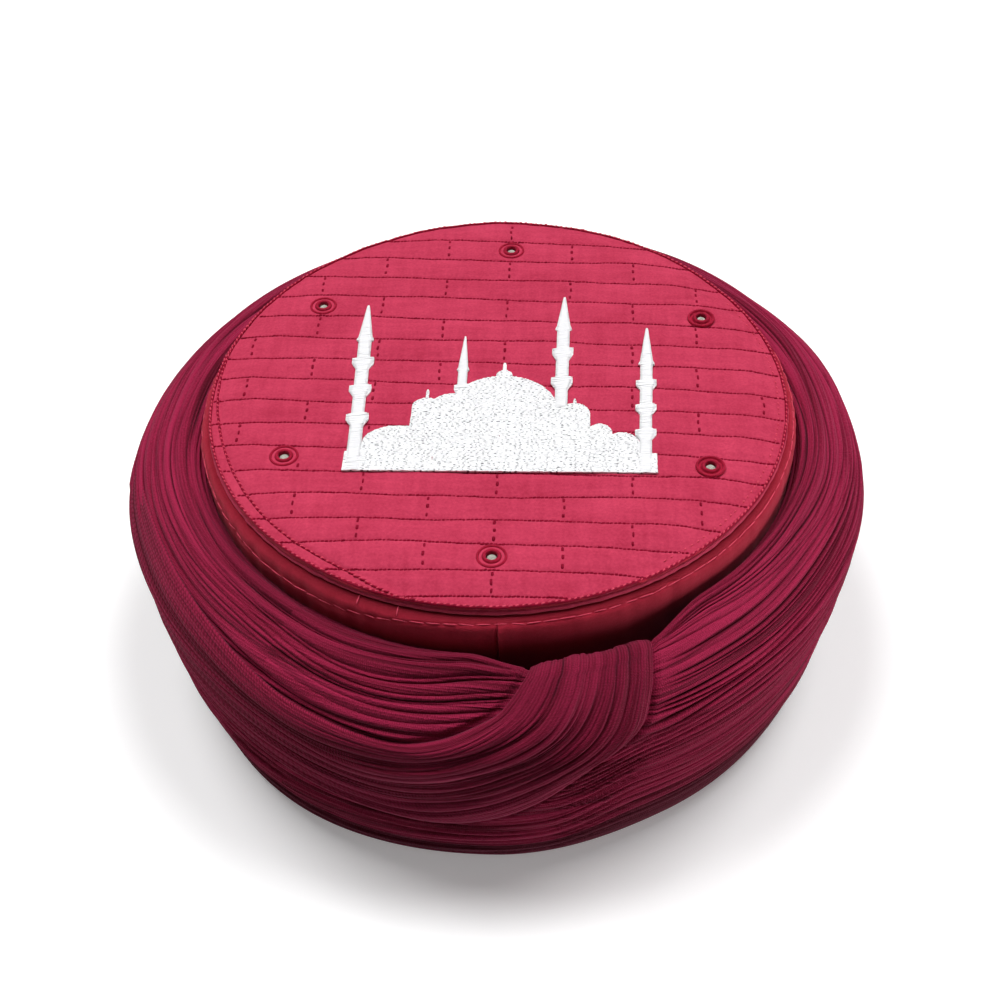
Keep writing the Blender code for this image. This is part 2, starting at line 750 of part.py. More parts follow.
def build_wrap_body(parts):
    grid = [wrap_column(angle) for angle in wrap_angles()]
    mesh = mesh_from_grid("wrap_body", grid, close_rows=True)
    add_object("wrap_body", mesh, parts, "wrap_gauze")
    shade_round(mesh, 60.0)


def crossing_point(row, across, inner):
    angle = row["left"] + (row["right"] - row["left"]) * across
    down = row["left_down"] + (row["right_down"] - row["left_down"]) * across
    if inner:
        return surface_point(angle, down * SECTION_LENGTH, CROSSING_GAP)
    rounded = math.sqrt(max(0.0, 1.0 - (2.0 * across - 1.0) ** 2))
    thick = CROSSING_EDGE + (CROSSING_THICKNESS * row["thick"] - CROSSING_EDGE) * rounded
    wave = 0.5 + 0.5 * math.cos(math.tau * CROSSING_PLEATS * across)
    valley = CROSSING_PLEAT_DEPTH * wave * rounded * min(row["thick"], 1.0)
    return surface_point(angle, down * SECTION_LENGTH, CROSSING_GAP + thick - valley)


def build_wrap_crossing(parts):
    # A folded band that rises out of the notch, covers the windings and thins out to the left
    steps = CROSSING_PLEATS * 2
    grid = []
    rows = (len(CROSSING) - 1) * CROSSING_STEPS
    for number in range(rows + 1):
        row = crossing_row(number / rows)
        outer = [crossing_point(row, step / steps, False) for step in range(steps + 1)]
        inner = [crossing_point(row, step / steps, True) for step in range(steps, -1, -1)]
        grid.append(outer + inner)
    mesh = bpy.data.meshes.new("wrap_crossing")
    shape = bmesh.new()
    columns = [[shape.verts.new(point) for point in column] for column in grid]
    count = len(columns[0])
    for column, beside in zip(columns, columns[1:]):
        for row in range(count):
            above = (row + 1) % count
            shape.faces.new((column[row], column[above], beside[above], beside[row]))
    for column in (columns[0], columns[-1]):
        for step in range(steps):
            facing = count - 1 - step
            shape.faces.new((column[step], column[step + 1], column[facing - 1], column[facing]))
    bmesh.ops.recalc_face_normals(shape, faces=shape.faces)
    shape.to_mesh(mesh)
    shape.free()
    add_object("wrap_crossing", mesh, parts, "wrap_gauze")
    shade_round(mesh, 60.0)


def main():
    clear_scene()
    parts = make_collection("turban")
    cutters = make_collection("turban_cutters")
    build_crown_top(parts, cutters)
    build_crown_stiffener(parts)
    build_crown_piping(parts)
    build_crown_band(parts)
    build_eyelets(parts)
    build_mosque(parts, cutters)
    build_wrap_body(parts)
    build_wrap_crossing(parts)
    for obj in list(parts.objects) + list(cutters.objects):
        obj.location += Vector((CAP_TO_RIGHT, CAP_TO_BACK, 0.0))


main()
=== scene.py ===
import math

import bpy
import numpy as np
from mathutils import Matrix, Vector


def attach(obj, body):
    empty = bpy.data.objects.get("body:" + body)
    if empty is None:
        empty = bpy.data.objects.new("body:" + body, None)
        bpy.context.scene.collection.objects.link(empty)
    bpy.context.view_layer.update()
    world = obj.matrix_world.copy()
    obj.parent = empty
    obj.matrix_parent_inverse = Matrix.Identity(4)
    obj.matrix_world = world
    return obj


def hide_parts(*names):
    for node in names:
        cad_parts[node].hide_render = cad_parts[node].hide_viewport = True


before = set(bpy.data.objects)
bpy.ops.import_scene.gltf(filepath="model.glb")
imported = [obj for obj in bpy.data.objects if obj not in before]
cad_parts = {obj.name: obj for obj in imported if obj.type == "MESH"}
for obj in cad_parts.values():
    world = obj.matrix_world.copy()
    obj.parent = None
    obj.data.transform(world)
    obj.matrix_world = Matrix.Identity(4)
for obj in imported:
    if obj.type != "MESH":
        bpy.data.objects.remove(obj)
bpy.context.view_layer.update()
bpy.ops.object.select_all(action="DESELECT")

# Lengths are in metres. Shapes are made round the cap's own axis and then moved by capAxis.
capAxis = np.array((0.0016, -0.0007, 0.0))
cap = {
    "rimRadius": 0.094,  # outside of the side wall, at the floor
    "wall": 0.0025,
    "shoulderRadius": 0.0985,
    "shoulderHeight": 0.0895,
    "crownRadius": 0.095,
    "crownTop": 0.104,
    "seamGap": 0.0003,
}


# Meshes


def pick(*pieces):
    # Selects these alone, with the last one active
    bpy.ops.object.select_all(action="DESELECT")
    for piece in pieces:
        piece.select_set(True)
    bpy.context.view_layer.objects.active = pieces[-1]


def readPoints(piece):
    points = np.empty(len(piece.data.vertices) * 3)
    piece.data.vertices.foreach_get("co", points)
    return points.reshape(-1, 3)


def movePoints(piece, points):
    piece.data.vertices.foreach_set("co", np.ascontiguousarray(points, float).ravel())
    piece.data.update()


def markPoints(piece, name, values):
    mark = piece.data.attributes.new(name, "FLOAT", "POINT")
    mark.data.foreach_set("value", np.ascontiguousarray(values, np.float32))


def clothGrid(name, columns, rows):
    # A flat grid to be moved to its shape, with the column and the row of each of its points
    bpy.ops.mesh.primitive_grid_add(
        x_subdivisions=columns - 1, y_subdivisions=rows - 1, size=2, calc_uvs=True,
    )
    piece = bpy.context.object
    piece.name = piece.data.name = name
    flat = readPoints(piece)
    column = np.rint((flat[:, 0] + 1) / 2 * (columns - 1)).astype(int)
    row = np.rint((flat[:, 1] + 1) / 2 * (rows - 1)).astype(int)
    return piece, column, row


def layGrid(name, points):
    # A grid laid on rows and columns of points
    piece, column, row = clothGrid(name, points.shape[1], points.shape[0])
    movePoints(piece, points[row, column])
    return piece, column, row


def layUv(piece, across, down):
    # The piece's own UV map, from a value of each point
    corners = np.empty(len(piece.data.loops), int)
    piece.data.loops.foreach_get("vertex_index", corners)
    places = np.stack((across[corners], down[corners]), 1)
    piece.data.uv_layers[0].data.foreach_set("uv", places.astype(np.float32).ravel())


def sewClosed(piece, fillEnds=False):
    pick(piece)
    bpy.ops.object.mode_set(mode="EDIT")
    bpy.ops.mesh.select_all(action="SELECT")
    bpy.ops.mesh.remove_doubles(threshold=0.000002)
    if fillEnds:
        bpy.ops.mesh.fill_holes(sides=0)
    bpy.ops.mesh.select_all(action="SELECT")
    bpy.ops.mesh.normals_make_consistent(inside=False)
    bpy.ops.object.mode_set(mode="OBJECT")


def dress(piece, material, stands=(), smoothAngle=None):
    piece.data.materials.clear()
    piece.data.materials.append(material)
    pick(piece)
    if smoothAngle is None:
        bpy.ops.object.shade_smooth()
    else:
        bpy.ops.object.shade_smooth_by_angle(angle=math.radians(smoothAngle))
    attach(piece, "root")
    if stands:
        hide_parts(*stands)
    piece.select_set(False)


def layCopies(name, seed, places, turns, sizes):
    # One mesh with a copy of the seed at each place
    # Turns are 3 x 3 arrays, and sizes are along the seed's own axes
    points = readPoints(seed)
    faces = [list(face.vertices) for face in seed.data.polygons]
    count = len(points)
    shaped = points[None, :, :] * sizes[:, None, :]
    laid = np.einsum("nij,nkj->nki", turns, shaped) + places[:, None, :]
    mesh = bpy.data.meshes.new(name)
    every = [[corner + number * count for corner in face] for number in range(len(places)) for face in faces]
    mesh.from_pydata(laid.reshape(-1, 3), [], every)
    piece = bpy.data.objects.new(name, mesh)
    bpy.context.scene.collection.objects.link(piece)
    return piece


def frames(along, up):
    # Turns whose first axis is along and whose third is close to up
    along = along / np.linalg.norm(along, axis=1, keepdims=True)
    side = np.cross(up, along)
    side /= np.linalg.norm(side, axis=1, keepdims=True)
    return np.stack((along, side, np.cross(along, side)), 2)


def smoothStep(low, high, value):
    share = np.clip((value - low) / (high - low), 0, 1)
    return share * share * (3 - 2 * share)


def riseAndFall(value, start, full, ebb, end):
    # Rises from 0 to 1 between start and full, and falls back to 0 between ebb and end
    return smoothStep(start, full, value) * (1 - smoothStep(ebb, end, value))


def aroundCap(turn, radius, height):
    # Points at a turn from the front towards the right
    return np.stack((radius * np.sin(turn), -radius * np.cos(turn), height), -1)


def roundWaves(seed, angle, count, turns):
    # Smooth uneven curves round the cap, about -1 to 1, that meet themselves after a full turn
    random = np.random.default_rng(seed)
    value = np.zeros((count, len(angle)))
    for turn in turns:
        size = random.normal(0, 1, (count, 1)) / turn**0.35
        value += size * np.cos(np.radians(angle) * turn + random.uniform(0, math.tau, (count, 1)))
    return value / value.std()


# Materials


class Wire:  # a socket of a material, whose sums and products add Math nodes
    def __init__(self, tree, socket=None):
        self.tree, self.socket = tree, socket

    def node(self, kind, settings=None, inputs=None, out=0):
        made = self.tree.nodes.new(kind)
        for name, value in (settings or {}).items():
            if name == "stops":
                ramp = made.color_ramp.elements
                while len(ramp) < len(value):
                    ramp.new(0.5)
                for stop, (place, colour) in zip(ramp, value):
                    stop.position, stop.color = place, (*colour, 1)
            else:
                setattr(made, name, value)
        for name, value in (inputs or {}).items():
            if isinstance(value, Wire):
                self.tree.links.new(value.socket, made.inputs[name])
            else:
                made.inputs[name].default_value = value
        return Wire(self.tree, made.outputs[out])

    def maths(self, operation, *values):
        return self.node("ShaderNodeMath", {"operation": operation}, dict(enumerate(values)))

    def __add__(self, other):
        return self.maths("ADD", self, other)

    def __sub__(self, other):
        return self.maths("SUBTRACT", self, other)

    def __rsub__(self, other):
        return self.maths("SUBTRACT", other, self)

    def __mul__(self, other):
        return self.maths("MULTIPLY", self, other)

    def __truediv__(self, other):
        return self.maths("DIVIDE", self, other)

    __radd__, __rmul__ = __add__, __mul__

    def wave(self):
        return self.maths("SINE", self)

    def floor(self):
        return self.maths("FLOOR", self)

    def root(self):
        return self.maths("SQRT", self)

    def within(self, low, high):
        return self.node("ShaderNodeMapRange", {"clamp": True}, {0: self, 1: low, 2: high})


def newMaterial(name):
    material = bpy.data.materials.new(name)
    material.use_nodes = True
    return material, Wire(material.node_tree), material.node_tree.nodes["Principled BSDF"]


def blendColours(start, factor, first, second):
    colours = {0: factor, 6: first if isinstance(first, Wire) else (*first, 1)}
    colours[7] = second if isinstance(second, Wire) else (*second, 1)
    return start.node("ShaderNodeMix", {"data_type": "RGBA"}, colours, out=2)


def finishShader(start, shader, colour, roughness, height, depth, constants, strength=1.0):
    bump = start.node("ShaderNodeBump", None, {"Strength": strength, "Distance": depth, "Height": height})
    for name, value in (("Base Color", colour), ("Roughness", roughness), ("Normal", bump)):
        if isinstance(value, Wire):
            start.tree.links.new(value.socket, shader.inputs[name])
        else:
            shader.inputs[name].default_value = value
    for name, value in constants.items():
        shader.inputs[name].default_value = value


def places(start, kind="Object"):
    return start.node("ShaderNodeTexCoord", out=("Generated", "Normal", "UV", "Object").index(kind))


def scaled(start, vector, sizes):
    return start.node("ShaderNodeVectorMath", {"operation": "MULTIPLY"}, {0: vector, 1: sizes})


def parts(start, vector):
    split = start.node("ShaderNodeSeparateXYZ", None, {0: vector})
    return [Wire(start.tree, output) for output in split.socket.node.outputs]


def noise(start, vector, scale, detail=2.0, roughness=0.5):
    inputs = {"Vector": vector, "Scale": scale, "Detail": detail, "Roughness": roughness}
    return start.node("ShaderNodeTexNoise", None, inputs)


def stretchedNoise(start, along, across, look, detail, roughness=0.5):
    # Noise with a scale of its own along the cloth and across it, and a place of its own
    scaleAlong, scaleAcross, place = look
    spread = {0: along * scaleAlong, 1: across * scaleAcross, 2: place}
    vector = start.node("ShaderNodeCombineXYZ", None, spread)
    return noise(start, vector, 1.0, detail, roughness)


cottonLook = {
    "weave": 0.00060,  # from thread to thread
    "slub": 420.0,
    "fuzz": 1150,
    "mottle": 48,
    "depth": 0.00017,
    # how dark the painted shade makes the shade colour
    "paintedShadeLight": 0.3,
}


def cottonMaterial(name, colour, shade, roughness=0.85, paintedShadeShare=0.0):
    # Plain woven cotton: fine threads, a few thicker ones, and slight unevenness of the dye
    material, start, shader = newMaterial(name)
    place = places(start)
    x, y, z = parts(start, place)
    turn = math.tau / cottonLook["weave"]
    threads = (x * turn).wave() * (y * turn + z * turn).wave()
    slub = noise(start, scaled(start, place, (1, 0.12, 0.12)), cottonLook["slub"], 3)
    cross = noise(start, scaled(start, place, (0.12, 1, 1)), cottonLook["slub"] * 1.2, 3)
    fuzz = noise(start, place, cottonLook["fuzz"], 3, 0.7)
    mottle = noise(start, place, cottonLook["mottle"], 5, 0.62)
    dye = mottle * 0.65 + slub * 0.35 + cross * 0.35 + fuzz * 0.8 + threads * 0.05
    tone = blendColours(start, dye.within(0.78, 1.40), shade, colour)
    # Painted shade from a point attribute: darker where the piece marks it
    if paintedShadeShare:
        hidden = start.node("ShaderNodeAttribute", {"attribute_name": "hidden"}, out=2)
        dark = [c * cottonLook["paintedShadeLight"] for c in shade]
        tone = blendColours(start, hidden * paintedShadeShare, tone, dark)
    rough = roughness + (fuzz - 0.5) * 0.12
    height = threads * 0.3 + slub * 0.45 + cross * 0.45 + fuzz * 0.8
    finishShader(start, shader, tone, rough, height, cottonLook["depth"], {
        "Sheen Weight": 0.10, "Sheen Roughness": 0.5, "Sheen Tint": (1, 0.5, 0.6, 1),
        "Specular IOR Level": 0.12,
    })
    return material


gauzeLook = {
    "around": 0.785,  # the cloth's full length and width in its UV map
    "down": 0.15,
    "rib": 0.00072,  # from rib to rib along the cloth
    "stitch": 0.00092,  # height of one knitted stitch
    "threadDepth": 0.00032,
    # lighter colour of the crests: painted highlight on the small gathers and knit, mixed by random tone
    "crest": (0.375, 0.0180, 0.069),
    "face": (0.146, 0.0050, 0.0212),
    # colour of the painted shade in the creases, and of the dark streaks
    "valley": (0.054, 0.0013, 0.0072),
    "sway": (90, 260, 1.3),  # scales of noise along the cloth and across it, and its place
    "gathers": (26, 1500, 0.0),
    "lines": (13, 520, 3.7),
    "grain": (1500, 1900, 8.1),
    "strands": (7, 210, 5.2),
}


def gauzeMaterial(name, light=1.0, streaks=0.65, knitting=0.6):
    # Fine ribbed gauze gathered into pleats. Its UV runs along the cloth and down it.
    look = gauzeLook
    material, start, shader = newMaterial(name)
    u, v, _ = parts(start, places(start, "UV"))
    along, across = u * look["around"], v * look["down"]
    shift = stretchedNoise(start, along, across, look["sway"], 2)
    row = (across / look["stitch"]).floor()
    ladder = (along * (math.tau / look["rib"]) + row * math.pi + shift * 14).wave()
    stitch = (across * (math.tau / look["stitch"])).wave()
    gathers = stretchedNoise(start, along, across, look["gathers"], 3, 0.55)
    lines = stretchedNoise(start, along, across, look["lines"], 2)
    grain = stretchedNoise(start, along, across, look["grain"], 1)
    strand = stretchedNoise(start, along, across, look["strands"], 1)
    speck = noise(start, places(start), 1500, 2, 0.7)
    # Painted shade in the creases, on the inner wall and towards the foot, from a point attribute; the dark
    # streaks paint shade in fine creases
    deep = start.node("ShaderNodeAttribute", {"attribute_name": "valley"}, out=2)
    knit = (ladder * 0.5 + 0.5) * (0.6 + stitch * 0.4)
    streak = lines.within(0.27, 0.46)
    # Painted highlight on the knit and the small gathers, mixed with random tone
    lit = (knit - 0.3) * knitting + gathers * 0.7 + lines * 0.7 + strand * 1.3 + grain * 0.8
    lit = (lit + speck * 0.3).within(1.45, 2.25)
    # light below 1 paints shade over a whole copy of the cloth
    face, crest = ([c * light for c in look[shade]] for shade in ("face", "crest"))
    face = blendColours(start, lit, face, crest)
    lined = blendColours(start, streak * streaks + (1 - streaks), look["valley"], face)
    tone = blendColours(start, deep.within(0.12, 1.0), lined, look["valley"])
    rough = 0.88 - knit * 0.06
    height = knit * 0.35 + gathers * 1.0 + lines * 1.8 + streak * 0.6 + grain * 0.9
    finishShader(start, shader, tone, rough, height, look["threadDepth"], {
        "Sheen Weight": 0.12, "Sheen Roughness": 0.45, "Sheen Tint": (1, 0.3, 0.5, 1),
        "Specular IOR Level": 0.10,
    })
    return material


threadTwist = 0.00055  # from turn to turn of the ply


def threadMaterial(name, colour, shade, sheen, roughness=0.5):
    # Twisted sewing thread, with painted shade where the ply turns under
    material, start, shader = newMaterial(name)
    place = places(start)
    x, y, z = parts(start, place)
    twist = ((x + y * 0.8 + z * 0.9) * (math.tau / threadTwist)).wave() * 0.5 + 0.5
    worn = noise(start, place, 700, 3)
    tone = blendColours(start, (twist * 0.45 + worn * 0.8).within(0.25, 0.95), shade, colour)
    rough = roughness + worn * 0.15
    finishShader(start, shader, tone, rough, twist + worn * 0.4, 0.00004, {
        "Sheen Weight": sheen, "Sheen Roughness": 0.3, "Specular IOR Level": 0.08,
    })
    return material


fillLook = {
    "rowPitch": 0.00066,
    "stitchPitch": 0.00185,
    "archPitch": 0.0052,
    "archMiddle": 0.045,  # how far in front of the middle
    "columnPitch": 0.0044,
    "chance": (420, 1.7, 0.0),
    "thread": (0.965, 0.965, 0.98),
    # grey of the painted shade in the needle holes
    "gap": (0.22, 0.22, 0.24),
}


def fillThreadMaterial():
    # Dense white filling stitches, with rows of small dark gaps where the needle went through: their grey is
    # painted shade in the needle holes
    look = fillLook
    material, start, shader = newMaterial("fillThread")
    place = places(start)
    x, y, _ = parts(start, place)
    drift = noise(start, place, 260, 2)
    number = y / look["rowPitch"] + drift * 1.2
    row = number.floor()
    chance = stretchedNoise(start, x, row, look["chance"], 1)
    rowShift = start.node("ShaderNodeTexWhiteNoise", {"noise_dimensions": "1D"}, {"W": row})
    slot = x * (math.tau / look["stitchPitch"]) + rowShift * math.tau + drift * 14
    slit = y * (math.tau / look["rowPitch"]) + drift * (1.2 * math.tau)
    forward = y + look["archMiddle"]
    away = x * x + forward * forward
    arch = (away.root() * (math.tau / look["archPitch"])).wave().within(0.88, 1.0)
    column = (x * (math.tau / look["columnPitch"])).wave().within(0.90, 1.0)
    gap = slot.wave().within(0.25, 0.65) * slit.wave().within(0.20, 0.65)
    gap = gap * (chance + arch * 0.25 + column * 0.25).within(0.43, 0.58)
    tone = blendColours(start, gap, look["thread"], look["gap"])
    finishShader(start, shader, tone, 0.65, 1 - gap, 0.0002, {
        "Sheen Weight": 0.1, "Specular IOR Level": 0.25,
    })
    return material


buckramWeave = 0.0009  # from thread to thread


def buckramMaterial():
    # Stiff open-woven interlining
    material, start, shader = newMaterial("paleBuckram")
    place = places(start)
    x, y, _ = parts(start, place)
    turn = math.tau / buckramWeave
    grid = (x * turn).wave() * (y * turn).wave()
    fleck = noise(start, place, 900, 3)
    tone = blendColours(start, (grid * 0.3 + fleck).within(0.2, 0.9), (0.30, 0.29, 0.25), (0.72, 0.70, 0.63))
    finishShader(start, shader, tone, 0.9, grid + fleck, 0.00015, {"Specular IOR Level": 0.2})
    return material


crownCotton = cottonMaterial("crownCotton", (0.660, 0.057, 0.125), (0.430, 0.023, 0.063))
# The band's cotton takes painted shade where its points are marked
bandCotton = cottonMaterial("bandCotton", (0.460, 0.021, 0.049), (0.320, 0.0105, 0.028), paintedShadeShare=0.8)
quiltThread = threadMaterial("quiltThread", (0.340, 0.005, 0.034), (0.150, 0.001, 0.013), 0.0)
# Paler thread for the topstitch and loose stitches, and for the cords' glints, which are painted highlights
paleThreadAndGlints = threadMaterial("paleThreadAndGlints", (0.860, 0.100, 0.175), (0.480, 0.030, 0.065), 0.1)
ringThread = threadMaterial("ringThread", (0.500, 0.016, 0.055), (0.210, 0.005, 0.020), 0.1)
whiteThread = threadMaterial("whiteThread", (0.965, 0.965, 0.98), (0.90, 0.90, 0.92), 0.1, 0.55)
fillThread = fillThreadMaterial()
paleBuckram = buckramMaterial()
print("materials ready")


# The wound cloth's own surface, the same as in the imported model

windings = {
    "thickness": 0.0267,
    "height": 0.089,
    "notchGap": 0.0065,
    "notchDrop": 0.0055,
    "notchDepth": 0.022,
    "seamAngle": -34,  # where each bundle of pleats is closed
    "backDepth": 0.0055,  # how far a bundle's back lies in, and its two edges
    "backEdge": 0.0035,
    "section": np.array((  # out and up, shares of the thickness and the height
        (0.000, 0.966), (0.085, 0.991), (0.195, 1.000), (0.385, 0.989), (0.610, 0.949),
        (0.815, 0.888), (0.955, 0.815), (1.000, 0.742), (0.982, 0.652), (0.926, 0.539),
        (0.852, 0.416), (0.758, 0.281), (0.646, 0.146), (0.550, 0.050), (0.440, 0.000),
    )),
    # At the crest and at the foot, every 30 degrees from the back, shares of the thickness
    "swell": np.array((
        (0.08, 0.00), (0.07, 0.01), (0.08, 0.01), (0.06, 0.00), (-0.02, 0.02), (-0.05, 0.10),
        (-0.08, 0.05), (-0.12, -0.06), (-0.14, -0.08), (-0.06, -0.09), (0.02, -0.07), (0.06, -0.03),
    )),
}
stretch = np.diff(windings["section"], axis=0) * (windings["thickness"], windings["height"])
lengths = np.concatenate(([0], np.cumsum(np.hypot(stretch[:, 0], stretch[:, 1]))))
sectionLength = lengths[-1]
windingInner = cap["shoulderRadius"] + cap["seamGap"]


def curveThrough(table, marks, place):
    # Smooth curve through each column of a table whose rows stand at marks
    index = np.searchsorted(marks[1:-1], place, side="left")
    share = ((place - marks[index]) / (marks[index + 1] - marks[index]))[..., None]
    start, end = table[index], table[index + 1]
    bendIn = (end - table[np.maximum(index - 1, 0)]) / 2
    bendOut = (table[np.minimum(index + 2, len(table) - 1)] - start) / 2
    squared, cubed = share**2, share**3
    value = (2 * cubed - 3 * squared + 1) * start + (cubed - 2 * squared + share) * bendIn
    return value + (3 * squared - 2 * cubed) * end + (cubed - squared) * bendOut


def wallRadius(height):
    share = np.clip(height / cap["shoulderHeight"], 0, 1)
    return cap["rimRadius"] + (cap["shoulderRadius"] - cap["rimRadius"]) * share + cap["seamGap"]


def notchShare(angle):
    return riseAndFall(angle, -4, 9, 25, 40)


def windingFace(angle, down):
    # Radius and height of the cloth's face: below zero on its inner wall, past its length under its foot
    notch = notchShare(angle)
    inside = np.minimum(down, 0)
    innerHeight = windings["section"][0, 1] * windings["height"] + inside
    drawn = notch * smoothStep(-windings["notchDepth"], -windings["notchDepth"] * 0.25, inside)
    innerRadius = wallRadius(innerHeight) + windings["notchGap"] * drawn
    innerHeight = innerHeight - windings["notchDrop"] * drawn
    onFace = np.clip(down, 0, sectionLength)
    value = curveThrough(windings["section"], lengths, onFace)
    out, up = value[..., 0], value[..., 1]
    turn = (angle + 180) / 30
    first = np.floor(turn).astype(int)
    ease = smoothStep(0, 1, turn - first)[..., None]
    swell = windings["swell"][first % 12] * (1 - ease) + windings["swell"][(first + 1) % 12] * ease
    swell = swell[..., 1] + (swell[..., 0] - swell[..., 1]) * smoothStep(0.12, 0.72, up)
    swell = swell * np.minimum(out / windings["section"][-1, 0], 1)
    away = np.exp(-onFace / (windings["notchDepth"] * 0.55))
    radius = windingInner + (out + swell) * windings["thickness"] + windings["notchGap"] * notch * away
    radius = radius - np.maximum(down - sectionLength, 0)
    height = up * windings["height"] - windings["notchDrop"] * notch * away
    return np.where(down < 0, innerRadius, radius), np.where(down < 0, innerHeight, height)


crossing = {
    "thickness": 0.0052,
    "edge": 0.0008,
    "gap": 0.0006,
    "sink": 0.5,
    "sinkFade": 0.0028,
    "reach": 0.012,
    "calmUnder": 0.88,  # how much of the pleats it presses flat
    "calmBeside": 0.72,
    "backGap": 0.00045,
    "dive": 0.0016,  # how far its end goes in
    "table": np.array((  # left, left down, right, right down, thick
        (8.0, -0.120, 27.0, -0.120, 0.50), (7.8, -0.050, 27.2, -0.050, 0.52),
        (7.6, -0.005, 27.2, -0.005, 0.55), (7.4, 0.020, 27.2, 0.020, 0.60),
        (7.0, 0.065, 27.2, 0.070, 0.70), (5.6, 0.124, 26.3, 0.130, 0.85),
        (4.0, 0.172, 25.2, 0.192, 1.00), (2.0, 0.217, 24.0, 0.246, 1.05),
        (-1.0, 0.254, 22.5, 0.307, 1.05), (-5.0, 0.293, 20.0, 0.358, 1.00),
        (-9.0, 0.320, 16.5, 0.414, 0.90), (-13.0, 0.329, 12.5, 0.493, 0.80),
        (-18.0, 0.324, 7.6, 0.586, 0.70), (-23.5, 0.311, 1.5, 0.660, 0.60),
        (-30.0, 0.293, -6.0, 0.704, 0.50), (-38.0, 0.260, -16.0, 0.693, 0.40),
        (-48.0, 0.223, -29.0, 0.651, 0.32), (-60.0, 0.205, -43.0, 0.600, 0.26),
        (-73.0, 0.215, -60.0, 0.545, 0.22), (-86.0, 0.260, -80.0, 0.450, 0.18),
    )),
}
degreeLength = math.radians(1) * (windingInner + windings["thickness"] * 0.8)
crossingMarks = np.arange(len(crossing["table"]), dtype=float)


def crossingAt(share):
    return curveThrough(crossing["table"], crossingMarks, share * crossingMarks[-1])


def pressedShare(angle, down):
    # Where the crossing lies on the windings, from 0 to 1, how thick it is there, and how near it is
    every = np.stack((np.asarray(angle, float).ravel(), np.broadcast_to(down, np.shape(angle)).ravel()))
    close = (every[0] > -96) & (every[0] < 36) & (every[1] < 0.8 * sectionLength)
    across, down = every[0, close] * degreeLength, every[1, close]
    nearest = np.full(across.shape, crossing["reach"])
    thick = np.zeros(across.shape)
    for left, leftDown, right, rightDown, share in crossingAt(np.linspace(0, 1, 289)):
        x0, y0 = left * degreeLength, leftDown * sectionLength
        x1, y1 = right * degreeLength, rightDown * sectionLength
        run, fall = x1 - x0, y1 - y0
        part = np.clip(((across - x0) * run + (down - y0) * fall) / (run * run + fall * fall), 0, 1)
        away = np.hypot(across - x0 - part * run, down - y0 - part * fall)
        thick = np.where(away < nearest, share * (1 - 0.5 * (2 * part - 1) ** 4), thick)
        nearest = np.minimum(away, nearest)
    pressed, thickness, near = np.zeros((3, every.shape[1]))
    pressed[close] = 1 - smoothStep(crossing["sinkFade"] * 0.3, crossing["sinkFade"], nearest)
    thickness[close] = np.minimum(thick, 1)
    near[close] = 1 - smoothStep(crossing["reach"] * 0.2, crossing["reach"], nearest)
    return [value.reshape(np.shape(angle)) for value in (pressed, thickness, near)]


def sinkDepth(angle, down):
    pressed, thick, _ = pressedShare(angle, down)
    return crossing["thickness"] * crossing["sink"] * thick * pressed * smoothStep(-0.002, 0.012, down)


def windingPoint(angle, down, proud):
    # Points on the cloth, stood out along its own normal
    step = sectionLength * 0.004
    r0, z0 = windingFace(angle, down - step)
    r1, z1 = windingFace(angle, down + step)
    radius, height = windingFace(angle, down)
    along = np.hypot(r1 - r0, z1 - z0)
    radius = radius - proud * (z1 - z0) / along
    height = np.maximum(height + proud * (r1 - r0) / along, 0.0002)
    return aroundCap(np.radians(angle), radius, height)


def foldDown(angle, level):
    # Where a fold's level runs: it hangs down left of the crossing and lifts to the notch right of it
    middle = np.sin(np.pi * np.clip(level, 0, 1))
    hang = 0.11 * riseAndFall(angle, -85, -8, 8, 24) * middle**1.15
    lift = 0.055 * riseAndFall(angle, 8, 27, 34, 85)
    lift = lift * np.exp(-(((level - 0.15) / 0.11) ** 2))
    return (level + hang - lift) * sectionLength


pleatPlaces = np.array((0.0, 0.07, 0.17, 0.36, 0.62, 0.83, 0.93))  # shares of a pleat's width
pleatHeight = 0.0009  # of a wide pleat


